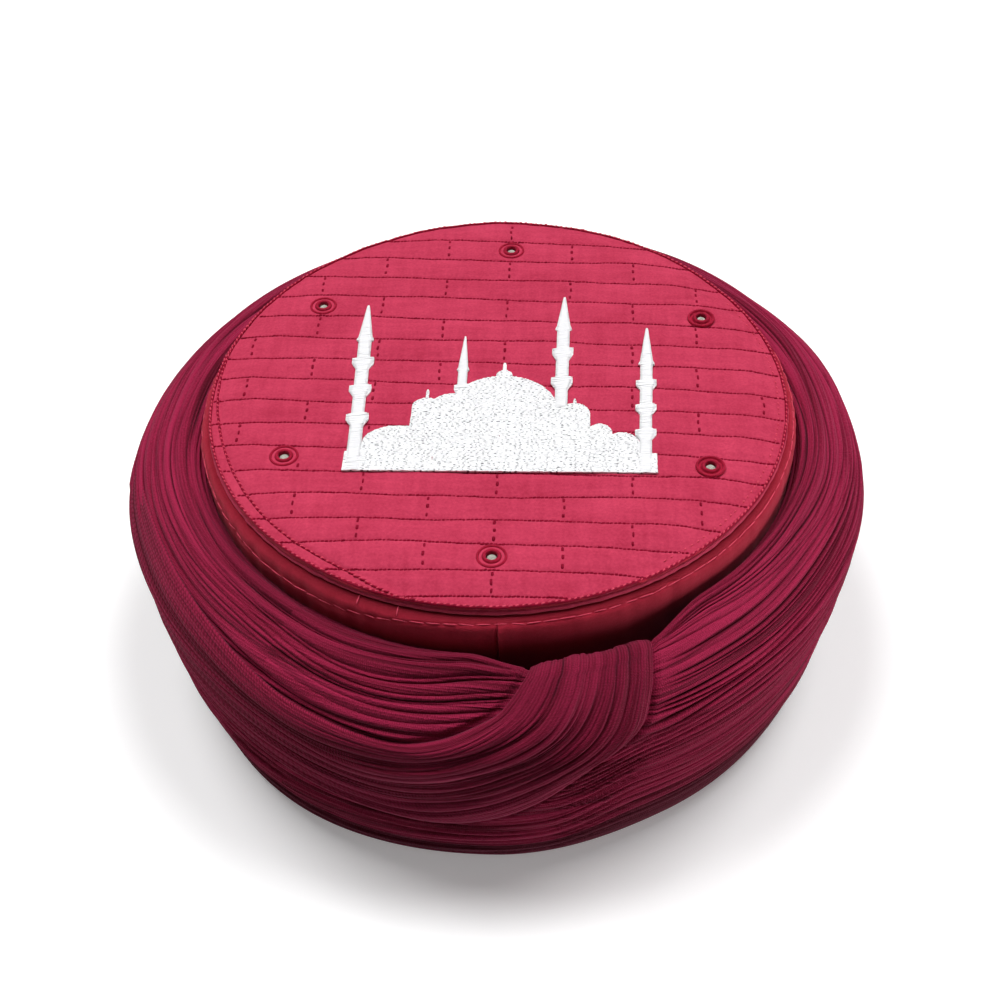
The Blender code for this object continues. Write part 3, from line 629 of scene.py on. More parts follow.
def pleatField(settings, angles, length):
    # Level and stand of every row of pleats, and the painted shade in its creases, from their depth
    # A few deep creases run far, and many faint ones come and go
    count = settings["pleats"]
    random = np.random.default_rng(settings["seed"])
    widths = random.lognormal(0, settings["unevenness"], count)
    for pleat, wide in settings["widePleats"].items():
        widths[pleat] = wide
    wander = roundWaves(settings["seed"] + 1, angles, count, range(1, settings["bends"]))
    widths = widths[:, None] * np.exp(settings["wander"] * wander)
    edges = np.vstack((np.zeros(len(angles)), np.cumsum(widths, 0)))
    edges /= edges[-1]
    depths = 0.40 + 1.05 * random.uniform(0, 1, (count + 1, 1)) ** settings["faintness"]
    depths = depths * (0.85 + 0.45 * roundWaves(settings["seed"] + 2, angles, count + 1, range(1, 14)))
    depths = settings["depth"] * np.clip(depths, 0.10, 1.2)
    depths[[0, -1]] = settings["border"]
    lift = settings["lift"] * roundWaves(settings["seed"] + 3, angles, count, range(1, 8))
    tilt = settings["tilt"] * roundWaves(settings["seed"] + 4, angles, count, range(1, 6))
    drift = roundWaves(settings["seed"] + 5, angles, 3, range(1, 6)) * 0.7
    levels, stands, valleyShade = [], [], []
    for pleat in range(count):
        width = (edges[pleat + 1] - edges[pleat]) * length
        reach = np.clip(settings["crease"] / width, 0.1, 0.5)
        for place in pleatPlaces:
            near = np.clip(1 - place / reach, 0, 1) ** 1.7
            far = np.clip(1 - (1 - place) / reach, 0, 1) ** 1.7
            rounded = np.minimum(width * 0.21, pleatHeight) * (4 * place * (1 - place)) ** 0.7
            level = edges[pleat] + (edges[pleat + 1] - edges[pleat]) * place
            rolls = sum(
                np.sin(math.tau * turns * level + drift[number] + number * 2.1) / (1 + number)
                for number, turns in enumerate(settings["rolls"])
            )
            stand = (lift[pleat] + tilt[pleat] * (place - 0.5)) * (1 - near) * (1 - far)
            inside = smoothStep(0, 0.08, level) * smoothStep(0, 0.08, 1 - level)
            stand = stand + settings["roll"] * rolls * inside
            levels.append(level)
            stands.append(stand + rounded - depths[pleat] * near - depths[pleat + 1] * far)
            crease = near * depths[pleat] + far * depths[pleat + 1]
            valleyShade.append(np.clip(crease, 0, settings["depth"]) / settings["depth"])
    levels.append(edges[-1])
    stands.append(-depths[-1])
    valleyShade.append(np.ones(len(angles)))
    return np.array(levels), np.array(stands), np.array(valleyShade)


bundles = {
    "upperWinding": {
        "from": -0.11, "to": 0.285, "pleats": 24, "unevenness": 0.45, "wander": 0.28,
        "depth": 0.0009, "border": 0.0016,
        "faintness": 1.6, "bends": 8, "crease": 0.0009, "lift": 0.00022, "tilt": 0.00035,
        "rolls": (2.3, 4.4, 7.0), "roll": 0.0004,
        "widePleats": {8: 2.4, 12: 2.2, 17: 2.0}, "seed": 11,
    },
    "outerWinding": {
        "from": 0.285, "to": 0.555, "pleats": 15, "unevenness": 0.45, "wander": 0.32,
        "depth": 0.0014, "border": 0.0018,
        "faintness": 1.3, "bends": 10, "crease": 0.0012, "lift": 0.00025, "tilt": 0.00045,
        "rolls": (1.6, 3.5, 6.0), "roll": 0.00035,
        "widePleats": {3: 1.9, 8: 1.7}, "seed": 23,
    },
    "lowerWinding": {
        "from": 0.555, "to": 0.80, "pleats": 13, "unevenness": 0.45, "wander": 0.32,
        "depth": 0.0013, "border": 0.0018,
        "faintness": 1.3, "bends": 10, "crease": 0.0012, "lift": 0.00030, "tilt": 0.0006,
        "rolls": (1.4, 3.1, 5.0), "roll": 0.00035,
        "widePleats": {4: 1.8, 8: 1.7}, "seed": 37,
    },
    "footWinding": {
        "from": 0.80, "to": 1.145, "pleats": 13, "unevenness": 0.5, "wander": 0.3,
        "depth": 0.0006, "border": 0.0014,
        "faintness": 1.6, "bends": 8, "crease": 0.0010, "lift": 0.00012, "tilt": 0.0003,
        "rolls": (1.5, 3.0), "roll": 0.0002,
        "widePleats": {2: 3.0, 5: 3.4}, "seed": 53, "everyColumn": 2,
    },
}


def windBundle(name, settings, material):
    # One bundle of pleated cloth round the cap, closed on its inner side
    seam = windings["seamAngle"]
    front = np.concatenate((np.arange(seam, 31, 0.31), np.arange(31.2, 50, 0.8)))
    angles = np.concatenate((front, np.arange(50, seam + 360, 1.25)))
    angles = np.append(angles[:: settings.get("everyColumn", 1)], seam + 360)
    span = settings["to"] - settings["from"]
    levels, stands, valleyShade = pleatField(settings, angles, span * sectionLength)
    levels = settings["from"] + span * levels
    returns = np.linspace(1, 0, 7)[:, None] * np.ones(len(angles))
    backLevels = settings["from"] + span * np.vstack((returns[:1] + 0.012, returns, returns[-1:] - 0.012))
    backStands = np.full(backLevels.shape, -windings["backDepth"])
    backStands[[0, -1]] = -windings["backEdge"]
    levels = np.vstack((levels, backLevels, levels[:1]))
    stands = np.vstack((stands, backStands, stands[:1]))
    valleyShade = np.vstack((valleyShade, np.ones(backLevels.shape), valleyShade[:1]))
    turned = (angles + 180) % 360 - 180
    downs = foldDown(turned, levels)
    everyAngle = np.broadcast_to(turned, downs.shape)
    pressed, thick, near = pressedShare(everyAngle, downs)
    beside = near * np.maximum(smoothStep(0.33, 0.45, levels), smoothStep(8, 20, everyAngle))
    flattened = np.maximum(crossing["calmUnder"] * pressed, crossing["calmBeside"] * beside)
    calm = 1 - flattened * smoothStep(0.2, 0.55, thick)
    slack = riseAndFall(everyAngle, -22, 12, 70, 110) * smoothStep(0.36, 0.56, levels)
    calm = calm * (1 - 0.5 * slack)
    # Painted shade in the creases, weaker where the crossing calms them, and full on the inner wall against
    # the band
    valleyShade = np.maximum(valleyShade * (0.4 + 0.6 * calm), 0.9 * (1 - smoothStep(-0.07, 0.03, levels)))
    # Painted shade towards the foot, and close to the band at the front
    byBand = riseAndFall(everyAngle, -95, -40, 50, 100) * (1 - smoothStep(0.02, 0.17, levels))
    valleyShade = np.maximum(valleyShade, 0.5 * np.maximum(smoothStep(0.60, 0.84, levels), byBand))
    proud = np.where(stands > -0.003, stands * calm, stands) - sinkDepth(everyAngle, downs)
    points = windingPoint(everyAngle, downs, proud) + capAxis
    piece, column, row = layGrid(name, points)
    down = (downs[row, column] + 0.02) / gauzeLook["down"]
    layUv(piece, (angles[column] - seam) / 360, down)
    markPoints(piece, "valley", valleyShade[row, column])
    sewClosed(piece)
    stands = ["wrap_body"] if name == "upperWinding" else ()
    dress(piece, material, stands)


gauze = gauzeMaterial("gauze")
# Darker copies of the gauze, painted shade over a whole piece: deep at the foot by the floor, slight over
# the crossing
shadedFootGauze = gauzeMaterial("shadedFootGauze", light=0.31)
shadedFoldedGauze = gauzeMaterial("shadedFoldedGauze", light=0.80, streaks=0.42, knitting=1.1)
for bundleName, bundle in bundles.items():
    windBundle(bundleName, bundle, shadedFootGauze if bundleName == "footWinding" else gauze)
    print(bundleName, "wound")


# The crossing that comes out of the notch

crossingFolds = {
    "pleats": 21, "unevenness": 0.50, "wander": 0.22, "depth": 0.0008, "border": 0.0,
    "faintness": 3.0, "bends": 4, "crease": 0.0009, "lift": 0.00016, "tilt": 0.00035,
    "rolls": (1.15, 2.3, 3.9), "roll": 0.0010,
    "widePleats": {0: 2.0, 3: 2.4, 7: 3.2, 11: 2.6, 15: 3.0, 19: 2.0, 20: 2.4}, "seed": 75,
    "width": 0.040, "length": 0.212, "steps": 200, "turn": 210,
}


def buildCrossing():
    share = np.linspace(0, 1, crossingFolds["steps"])
    across, stands, valleyShade = pleatField(crossingFolds, share * crossingFolds["turn"], crossingFolds["width"])
    back = np.linspace(1, 0, 14)[:, None] * np.ones(len(share))
    outer = len(across)
    across = np.vstack((across, back, across[:1]))
    stands = np.vstack((stands, np.zeros(back.shape), stands[:1]))
    valleyShade = np.vstack((valleyShade, np.ones(back.shape), valleyShade[:1]))
    fresh = 0.35 + 0.65 * smoothStep(0.12, 0.45, share)
    stands, valleyShade = stands * fresh, valleyShade * fresh
    left, leftDown, right, rightDown, thick = crossingAt(share).T
    angle = left + (right - left) * across
    down = (leftDown + (rightDown - leftDown) * across) * sectionLength
    dome = np.sqrt(np.clip(1 - np.abs(2 * across - 1) ** 2.4, 0, 1))
    stand = crossing["edge"] + (crossing["thickness"] * thick - crossing["edge"]) * dome
    stand = stand + stands * dome * (0.25 + 0.75 * np.clip(thick * 1.2, 0, 1)) + crossing["gap"]
    stand[outer:-1] = crossing["backGap"]
    dive = smoothStep(0.88, 1.0, share) * crossing["dive"]
    proud = stand - dive - sinkDepth(angle, down)
    points = windingPoint(angle, down, proud) + capAxis
    piece, column, row = layGrid("crossing", points)
    along = np.broadcast_to(share, across.shape) * (crossingFolds["length"] / gauzeLook["around"])
    down = across[row, column] * crossingFolds["width"] / gauzeLook["down"]
    layUv(piece, along[row, column], down)
    # Painted shade in the crossing's creases, lighter than on the windings
    markPoints(piece, "valley", valleyShade[row, column] * 0.7)
    sewClosed(piece, fillEnds=True)
    dress(piece, shadedFoldedGauze, ["wrap_crossing"])


buildCrossing()
print("crossing folded")


# The cap's side band, with its topstitch and its seam

band = {
    "profile": np.array((  # radius and height from the tab under the crown, over the shoulder
        (0.0936, 0.0983), (0.0946, 0.0984), (0.0955, 0.0983), (0.0962, 0.0981),
        (0.0968, 0.0978), (0.0974, 0.0973), (0.0979, 0.0967), (0.0983, 0.0957),
        (0.0985, 0.0941), (0.0986, 0.0919), (0.0985, 0.0895),
    )),
    "topstitch": 0.5,  # share of the way over the shoulder
    "topstitchDepth": 0.00028,
    "pucker": 0.00016,
    "sag": 0.0003,
    "seamAngle": 2.2,
    "lap": 0.00065,  # height of the seam's lap, and depth of the groove beside it
    "lapGroove": 0.0005,
    "tabTop": 0.0998,
    "stray": (-22.9, -15.3),  # two loose upright stitches
    "columns": 421,
}


def bandFace(angle, share):
    # Outside of the band: share 0 is the tab under the crown, 1 the shoulder's foot and 2 the rim
    marks = np.linspace(0, 1, len(band["profile"]))
    shoulder = curveThrough(band["profile"], marks, np.clip(share, 0, 1) + 0 * angle)
    below = np.clip(share - 1, 0, 1)
    radius = shoulder[..., 0] - (cap["shoulderRadius"] - cap["rimRadius"]) * below
    return radius, shoulder[..., 1] - cap["shoulderHeight"] * below


def topstitchAt(angle):
    # Lower on the shoulder at the left of the front
    back = 1 - 0.4 * smoothStep(-38, -75, angle) - 0.6 * smoothStep(-100, -150, angle)
    return band["topstitch"] + 0.34 * smoothStep(4, -30, angle) * back


def buildBand():
    close = (np.linspace(-1.0, -0.5, 4), np.linspace(-0.4, 0.4, 13), np.linspace(0.6, 2.4, 7))
    close = band["seamAngle"] + np.concatenate(close)
    angles = np.linspace(-180, 180, band["columns"])
    angles = np.sort(np.concatenate((angles[(angles < close[0]) | (angles > close[-1])], close)))
    side = 1 + np.concatenate((np.linspace(0.02, 0.2, 10), np.linspace(0.26, 0.97, 8)))
    outer = np.concatenate(([-0.25], np.linspace(0, 1, 26), side, [1.99, 2.0]))
    inner = ([2.0, 1.99], 1 + np.linspace(0.9, 0.05, 8), np.linspace(1, 0, 9), [-0.25])
    inner = np.concatenate(inner)
    shares = np.concatenate((outer, inner, outer[:1]))[:, None]
    isInner = np.zeros(len(shares), bool)
    isInner[len(outer):-1] = True
    radius, height = bandFace(angles, np.maximum(shares, 0))
    height = np.where(shares < 0, band["tabTop"], height)
    radius[isInner] -= cap["wall"]
    ripple = roundWaves(5, angles, 3, range(9, 60))
    faceOut = ~isInner[:, None] & (shares > 0) & (shares < 1.98)
    toStitch = np.abs(shares - topstitchAt(angles))
    groove = np.exp(-((toStitch / 0.045) ** 2))
    ripple = ripple[0] + roundWaves(15, angles, 1, range(50, 130))[0]
    pucker = np.exp(-toStitch / 0.35) * ripple * band["pucker"]
    sag = roundWaves(6, angles, 1, range(2, 14))[0] * band["sag"] * smoothStep(0.3, 0.9, shares)
    seam = angles - band["seamAngle"]
    lapped = band["lap"] * smoothStep(-0.10, 0.10, seam) * np.exp(-np.maximum(seam, 0) / 1.1)
    beside = np.exp(-((np.minimum(seam, 0) / 0.30) ** 2)) * smoothStep(0.15, -0.05, seam)
    lapped = lapped - band["lapGroove"] * beside
    push = pucker + sag - groove * band["topstitchDepth"] + lapped * smoothStep(0.2, 0.8, shares)
    push = push * (1 - smoothStep(1.5, 1.9, shares))
    radius = np.where(faceOut, radius + push, radius)
    height = np.where(shares == 1.99, height + 0.0003, height)
    points = aroundCap(np.radians(angles), radius, np.maximum(height, 0.0)) + capAxis
    piece, column, row = layGrid("capBand", points)
    # Painted shade: darker inside the wound cloth, and under the crown's lip at the front
    inFront = 0.0062 * riseAndFall(angles, -16, 12, 40, 66)
    hidden = 1 - smoothStep(0.0800 + inFront * 0.6, 0.0908 + inFront, height)
    lipShade = 0.6 * (1 - smoothStep(0.30, 0.62, shares)) * riseAndFall(angles, -68, -20, 42, 88)
    hidden = np.maximum(hidden, lipShade)
    markPoints(piece, "hidden", hidden[row, column])
    sewClosed(piece)
    dress(piece, bandCotton, ["crown_band"])


buildBand()
print("band sewn")


# The quilted crown

quilt = {
    "lines": np.array((  # where each line of stitches crosses the middle, and its slope
        (0.0931, -0.020), (0.0817, -0.045), (0.0702, -0.041), (0.0586, -0.041), (0.0473, -0.039),
        (0.0356, -0.034), (0.0242, -0.029), (0.0127, -0.029), (0.0016, -0.032), (-0.0092, -0.033),
        (-0.0201, -0.031), (-0.0306, -0.023), (-0.0409, -0.014), (-0.0511, -0.011),
        (-0.0615, -0.015), (-0.0713, -0.020), (-0.0818, -0.016), (-0.0910, 0.0), (-0.1015, 0.0),
    )),
    "pitch": 0.0108,  # usual distance between two lines
    "rim": 0.0938,
    "thickness": 0.0022,
    "puff": 0.00060,
    "pucker": 0.00016,
    "columns": 221,
    # How far the edge falls, in mm, every 45 degrees from the back by the left
    "edgeFall": (0.5, 1.0, 1.4, 1.6, 1.8, 2.1, 2.1, 1.4, 0.5),
    "holeRadius": 0.0023,
    "lip": (  # radius, depth, and how much of the edge's own height is kept
        (0.09405, 0.00010, 1.0), (0.0943, 0.00026, 1.0), (0.0946, 0.00014, 0.97),
        (0.0949, 0.00022, 0.92), (0.0951, 0.0007, 0.80), (0.0952, 0.0016, 0.4),
        (0.0952, 0.0029, 0.0), (0.0950, 0.0033, 0.0), (0.0943, 0.0034, 0.0), (0.0936, 0.0034, 0.0),
        (0.0915, 0.0036, 0.0), (0.0815, 0.0023, 0.0), (0.060, 0.0022, 0.0), (0.020, 0.0022, 0.0),
    ),
    "innerSeam": 0.0912,  # the second row of stitches, at the left
}
eyeletTable = (  # degrees from the back turning right, and share of the crown's radius
    (1.5, 0.805), (61.5, 0.825), (118.5, 0.815), (179.0, 0.805), (243.0, 0.785), (304.5, 0.805),
)
eyeletPlaces = [(math.radians(angle), out * cap["crownRadius"]) for angle, out in eyeletTable]
lastLine = len(quilt["lines"]) - 1


def lineAt(number, x):
    # Place of a quilting line, or of a line between two, over a place across the crown
    whole = np.clip(np.floor(number), 0, lastLine - 1).astype(int)
    part = number - whole
    middle, slope = quilt["lines"][whole].T
    nextMiddle, nextSlope = quilt["lines"][whole + 1].T
    stray, nextStray = (
        0.00030 * np.sin(x * 62 + line * 2.3) + 0.00018 * np.sin(x * 141 + line * 4.1)
        for line in (whole, whole + 1)
    )
    y = (middle + slope * x + stray) * (1 - part) + (nextMiddle + nextSlope * x + nextStray) * part
    level = middle * (1 - part) + nextMiddle * part
    near = smoothStep(0.0840, 0.0915, np.abs(level))
    return y * (1 - near) + level * near


def lineNumberAt(x, y):
    number = np.zeros(len(x))
    for line in range(lastLine):
        upper, lower = (lineAt(np.full(len(x), float(which)), x) for which in (line, line + 1))
        number = np.where((y <= upper) & (y > lower), line + (upper - y) / (upper - lower), number)
    return number


def leftSeamShare(angle):
    return riseAndFall(angle, -110, -66, -30, -14)


def quiltHeight(x, y, number=None):
    # Height of the padded cloth over the crown's flat top
    if number is None:
        number = lineNumberAt(x, y)
    line = np.clip(np.rint(number), 1, lastLine - 1)
    toLine = np.abs(number - line) * quilt["pitch"]
    puffed = quilt["puff"] * np.clip(toLine / (quilt["pitch"] / 2), 0, 1) ** 0.5
    sharp = 0.00016 * np.exp(-((toLine / 0.00045) ** 2))
    ripple = np.sin(x * 2300 + np.sin(x * 330) * 2 + line * 2.1)
    ripple = ripple * (0.6 + 0.4 * np.sin(x * 420 + line * 1.3))
    pucker = quilt["pucker"] * ripple * np.exp(-toLine / 0.0012) * smoothStep(0.0, 0.0006, toLine)
    slack = 0.00016 * np.sin(x * 75 + y * 31) * np.sin(y * 90 - x * 23)
    slack = slack + 0.00010 * np.sin(x * 210 + y * 160)
    slack = slack + 0.00006 * np.sin(x * 640 + y * 380 + np.sin(y * 300) * 2)
    radius, angle = np.hypot(x, y), np.degrees(np.arctan2(x, -y))
    fall = np.interp(angle, np.linspace(-180, 180, 9), quilt["edgeFall"]) * 0.001
    fall = fall * smoothStep(0.0795, 0.0962, radius) ** 1.1
    bend = 0.0008 * smoothStep(0.056, 0.076, x) * (1 - smoothStep(0.050, 0.080, np.abs(y)))
    groove = 0.0004 * leftSeamShare(angle) * np.exp(-(((radius - quilt["innerSeam"]) / 0.0007) ** 2))
    height = (puffed + pucker) * (1 - smoothStep(0.088, 0.094, radius))
    height = height - sharp + slack - fall - bend - groove - 0.0002
    for turn, out in eyeletPlaces:
        away = np.hypot(x - out * math.sin(turn), y - out * math.cos(turn))
        height = height + (-0.00015 - bend - height) * (1 - smoothStep(0.0050, 0.0070, away))
    return height


def buildCrown():
    # A grid whose rows follow the quilting lines, drawn in to a circle, with a lip from its edge
    rim = quilt["rim"]
    offsets = (0, 0.018, 0.04, 0.075, 0.14, 0.24, 0.37, 0.5, 0.63, 0.76, 0.86, 0.925, 0.96, 0.982)
    limit = rim * math.cos(math.radians(8))
    numbers = [line + offset for line in range(lastLine) for offset in offsets]
    levels = np.interp(numbers, range(lastLine + 1), quilt["lines"][:, 0])
    more = [rim * math.cos(math.radians(turn)) for turn in range(11, 40, 3)]
    more = [-y for y in more] + more
    levels = [y for y in list(levels) + more if abs(y) < limit - 0.0003]
    levels = np.array(sorted(levels + [-limit, limit]))
    levels = levels[np.concatenate(([True], np.diff(levels) > 0.00012))]
    numbers = np.interp(-levels, -quilt["lines"][:, 0], range(lastLine + 1))
    piece, column, row = clothGrid("crown", quilt["columns"], len(levels))
    number = numbers[row]
    share = column / (quilt["columns"] - 1) * 2 - 1
    x = np.sqrt(rim**2 - levels[row] ** 2) * share
    for _ in range(8):
        y = lineAt(number, x)
        x = np.sqrt(np.maximum(rim**2 - y**2, 0)) * share
    end = (row == 0) | (row == len(levels) - 1)
    y = np.where(end, np.sign(y) * np.sqrt(rim**2 - x**2), lineAt(number, x))
    movePoints(piece, np.stack((x, y, cap["crownTop"] + quiltHeight(x, y, number)), -1))
    first = len(x)
    pick(piece)
    bpy.ops.object.mode_set(mode="EDIT")
    bpy.ops.mesh.select_all(action="SELECT")
    bpy.ops.mesh.region_to_loop()
    radius = rim
    for toRadius, _, _ in quilt["lip"]:
        bpy.ops.mesh.extrude_region_move()
        scale = toRadius / radius
        bpy.ops.transform.resize(value=(scale, scale, 1), center_override=(0, 0, 0))
        radius = toRadius
    bpy.ops.mesh.extrude_region_move()
    bpy.ops.mesh.merge(type="CENTER")
    bpy.ops.object.mode_set(mode="OBJECT")
    points = readPoints(piece)
    ringed = points[first:-1]
    perLoop = len(ringed) // len(quilt["lip"])
    loop = np.arange(len(ringed)) // perLoop
    angle = np.degrees(np.arctan2(ringed[:, 0], -ringed[:, 1]))
    _, drops, follow = np.array(quilt["lip"])[loop].T
    rimX, rimY = rim * np.sin(np.radians(angle)), -rim * np.cos(np.radians(angle))
    rolled = quiltHeight(rimX, rimY)
    wavy = roundWaves(3, angle, 2, range(3, 40))
    tight = roundWaves(4, angle, 1, range(60, 170))[0]
    fringed = 1 + 1.5 * smoothStep(120, 165, np.abs(angle))
    outside = (loop > 1) & (loop < 9)
    sag = 0.00010 * wavy[0] + 0.00005 * tight * fringed
    ringed[:, 2] = cap["crownTop"] - drops + follow * rolled + np.where(outside, sag, 0)
    swing = (0.00012 * wavy[1] + 0.00008 * tight * fringed) / cap["crownRadius"]
    swing = 1 + np.where(outside, swing, 0)
    ringed[:, :2] *= swing[:, None]
    points[-1] = 0, 0, cap["crownTop"] - quilt["thickness"]
    movePoints(piece, points + capAxis)
    sewClosed(piece)
    cutters = []
    for turn, out in eyeletPlaces:
        place = capAxis + (out * math.sin(turn), out * math.cos(turn), cap["crownTop"])
        bpy.ops.mesh.primitive_cylinder_add(
            vertices=32, radius=quilt["holeRadius"], depth=0.012, location=place,
        )
        cutters.append(bpy.context.object)
    pick(*cutters)
    bpy.ops.object.join()
    cutter = bpy.context.object
    pick(piece)
    cut = piece.modifiers.new("eyeletHoles", "BOOLEAN")
    cut.operation, cut.solver, cut.object = "DIFFERENCE", "MANIFOLD", cutter
    bpy.ops.object.modifier_apply(modifier=cut.name)
    bpy.data.objects.remove(cutter)
    dress(piece, crownCotton, ["crown_top"], smoothAngle=50)
    # The lip's outer wall below the edge takes the darker band cotton: painted shade under the crown's edge
    piece.data.materials.append(bandCotton)
    for face in piece.data.polygons:
        away = math.hypot(face.center.x - capAxis[0], face.center.y - capAxis[1])
        below = face.center.z < cap["crownTop"] - 0.0004
        face.material_index = int(away > cap["crownRadius"] and below)


buildCrown()
print("crown quilted")


# The piping under the crown's lip, and the cord round its edge

piping = {
    "ring": 0.0945, "height": 0.0996, "thickness": 0.0010, "pucker": 0.00007,
    "cordRing": 0.0948, "cordSunk": 0.00022, "cordThickness": 0.00050,
    "columns": 400, "sides": 9,
}


def buildPiping():
    angles = np.linspace(-180, 180, piping["columns"])
    sides = np.radians(np.linspace(0, 360, piping["sides"]))[:, None]
    pucker = roundWaves(8, angles, 1, range(40, 150))[0] * piping["pucker"]
    thickness = piping["thickness"] + pucker
    turn = np.radians(angles)
    rim = quiltHeight(quilt["rim"] * np.sin(turn), -quilt["rim"] * np.cos(turn))
    rim = cap["crownTop"] + rim - piping["cordSunk"]
    cord = piping["cordThickness"] + pucker * 0.5
    rolls = (
        ("piping", piping["ring"], piping["height"], thickness, crownCotton, ["crown_piping"]),
        ("rimCord", piping["cordRing"], rim, cord, quiltThread, ()),
    )
    for name, ring, middle, thick, material, stands in rolls:
        radius = ring + thick * np.cos(sides)
        height = middle + thick * np.sin(sides)
        piece, _, _ = layGrid(name, aroundCap(turn, radius, height) + capAxis)
        sewClosed(piece)
        dress(piece, material, stands)


buildPiping()
print("piping rolled")


# Sewn eyelets

eyelet = {
    "ribs": 40,
    "ribDepth": 0.00007,
    "profile": np.array((  # distance from the middle and height over the crown's top
        (0.00175, -0.00190), (0.00175, 0.00010), (0.00184, 0.00038), (0.00202, 0.00054),
        (0.00234, 0.00060), (0.00262, 0.00054), (0.00284, 0.00028), (0.00296, -0.00004),
        (0.00302, -0.00044), (0.00382, -0.00044), (0.00386, -0.00004), (0.00400, 0.00026),
        (0.00428, 0.00038), (0.00456, 0.00026), (0.00470, -0.00004), (0.00474, -0.00050),
        (0.00220, -0.00060), (0.00220, -0.00190), (0.00175, -0.00190),
    )),
}


def buildEyelets():
    profile = eyelet["profile"]
    angles = np.linspace(0, 360, eyelet["ribs"] * 4 + 1)
    turn = np.radians(angles)
    rib = np.cos(turn * eyelet["ribs"])
    covered = (smoothStep(-0.0001, 0.0003, profile[:, 1]) * eyelet["ribDepth"])[:, None]
    radius = profile[:, :1] + covered * rib * 0.4
    height = cap["crownTop"] + profile[:, 1:] + covered * rib
    seed, _, _ = layGrid("eyelet.1", aroundCap(turn, radius, height))
    sewClosed(seed)
    ring = readPoints(seed)
    for number, (turn, out) in enumerate(eyeletPlaces, 1):
        piece = seed
        if number > 1:
            piece = seed.copy()
            piece.data = seed.data.copy()
            piece.name = piece.data.name = f"eyelet.{number}"
            bpy.context.scene.collection.objects.link(piece)
        movePoints(piece, ring + capAxis + (out * math.sin(turn), out * math.cos(turn), 0))
        dress(piece, ringThread, [f"eyelet_{number}"])


buildEyelets()
print("eyelets sewn")


# Threads


def makeStitch():
    # One stitch along X, a unit long and a unit wide, whose ends dip into the cloth
    bpy.ops.mesh.primitive_cylinder_add(vertices=6, radius=0.5, depth=0.62, rotation=(0, math.pi / 2, 0))
    piece = bpy.context.object
    bpy.ops.object.transform_apply(location=False, rotation=True, scale=False)
    for side in (-1, 1):
        bpy.ops.object.mode_set(mode="EDIT")
        bpy.ops.mesh.select_all(action="DESELECT")
        bpy.ops.object.mode_set(mode="OBJECT")
        for face in piece.data.polygons:
            face.select = face.normal.x * side > 0.9
        bpy.ops.object.mode_set(mode="EDIT")
        bpy.ops.mesh.extrude_region_move(TRANSFORM_OT_translate={"value": (side * 0.19, 0, -0.5)})
        bpy.ops.transform.resize(value=(1, 0.55, 0.55), center_override=(side * 0.5, 0, -0.5))
        bpy.ops.object.mode_set(mode="OBJECT")
    return piece


stitch = makeStitch()

quiltStitches = {
    "pitch": 0.00124, "length": 0.00128, "width": 0.00074, "height": 0.00056,
    "slant": 15.0, "reach": 0.0941, "lift": 0.00014,
}
markStitches = {
    # Middle mark, the marks' distance, and how it grows to the back
    "across": (0.0017, 0.0427, 0.0215, 0.06),
    "parts": ((0.0018, 0.0018), (0.0052, 0.0020), (0.0087, 0.0018)),  # place and length
    "reach": 0.0895,
    "firstRow": 0.0110,
    "fromEyelet": 0.0064,
    "width": 0.00080,
    "height": 0.00050,
}


def layStitches(name, points, along, settings, material, seed=1, slant=0.0, up=(0, 0, 1)):
    random = np.random.default_rng(seed)
    count = len(points)
    up = np.broadcast_to(np.array(up, float), points.shape)
    along = along / np.linalg.norm(along, axis=1, keepdims=True)
    side = np.cross(up, along)
    lean = np.radians(slant + random.normal(0, 2.5, count))[:, None]
    turns = frames(along * np.cos(lean) + side * np.sin(lean), up)
    sizes = np.empty((count, 3))
    for axis, size in enumerate(("length", "width", "height")):
        sizes[:, axis] = settings[size]
    sizes *= 1 + random.normal(0, 0.09, (count, 3))
    points = points + random.normal(0, 0.00005, (count, 3))
    dress(layCopies(name, stitch, points + capAxis, turns, sizes), material)


def sewQuilting():
    points, along = [], []
    for line in range(1, lastLine):
        x = np.arange(-0.0945, 0.0945, quiltStitches["pitch"])
        y = lineAt(np.full(len(x), float(line)), x)
        inside = np.hypot(x, y) < quiltStitches["reach"]
        x, y = x[inside], y[inside]
        height = cap["crownTop"] + quiltHeight(x, y, np.full(len(x), float(line)))
        height = height + quiltStitches["lift"]
        points.append(np.stack((x, y, height), 1))
        along.append(np.stack((np.gradient(x), np.gradient(y), np.gradient(height)), 1))
    points, along = np.vstack(points), np.vstack(along)
    slant = quiltStitches["slant"]
    layStitches("quiltingThread", points, along, quiltStitches, quiltThread, 31, slant)


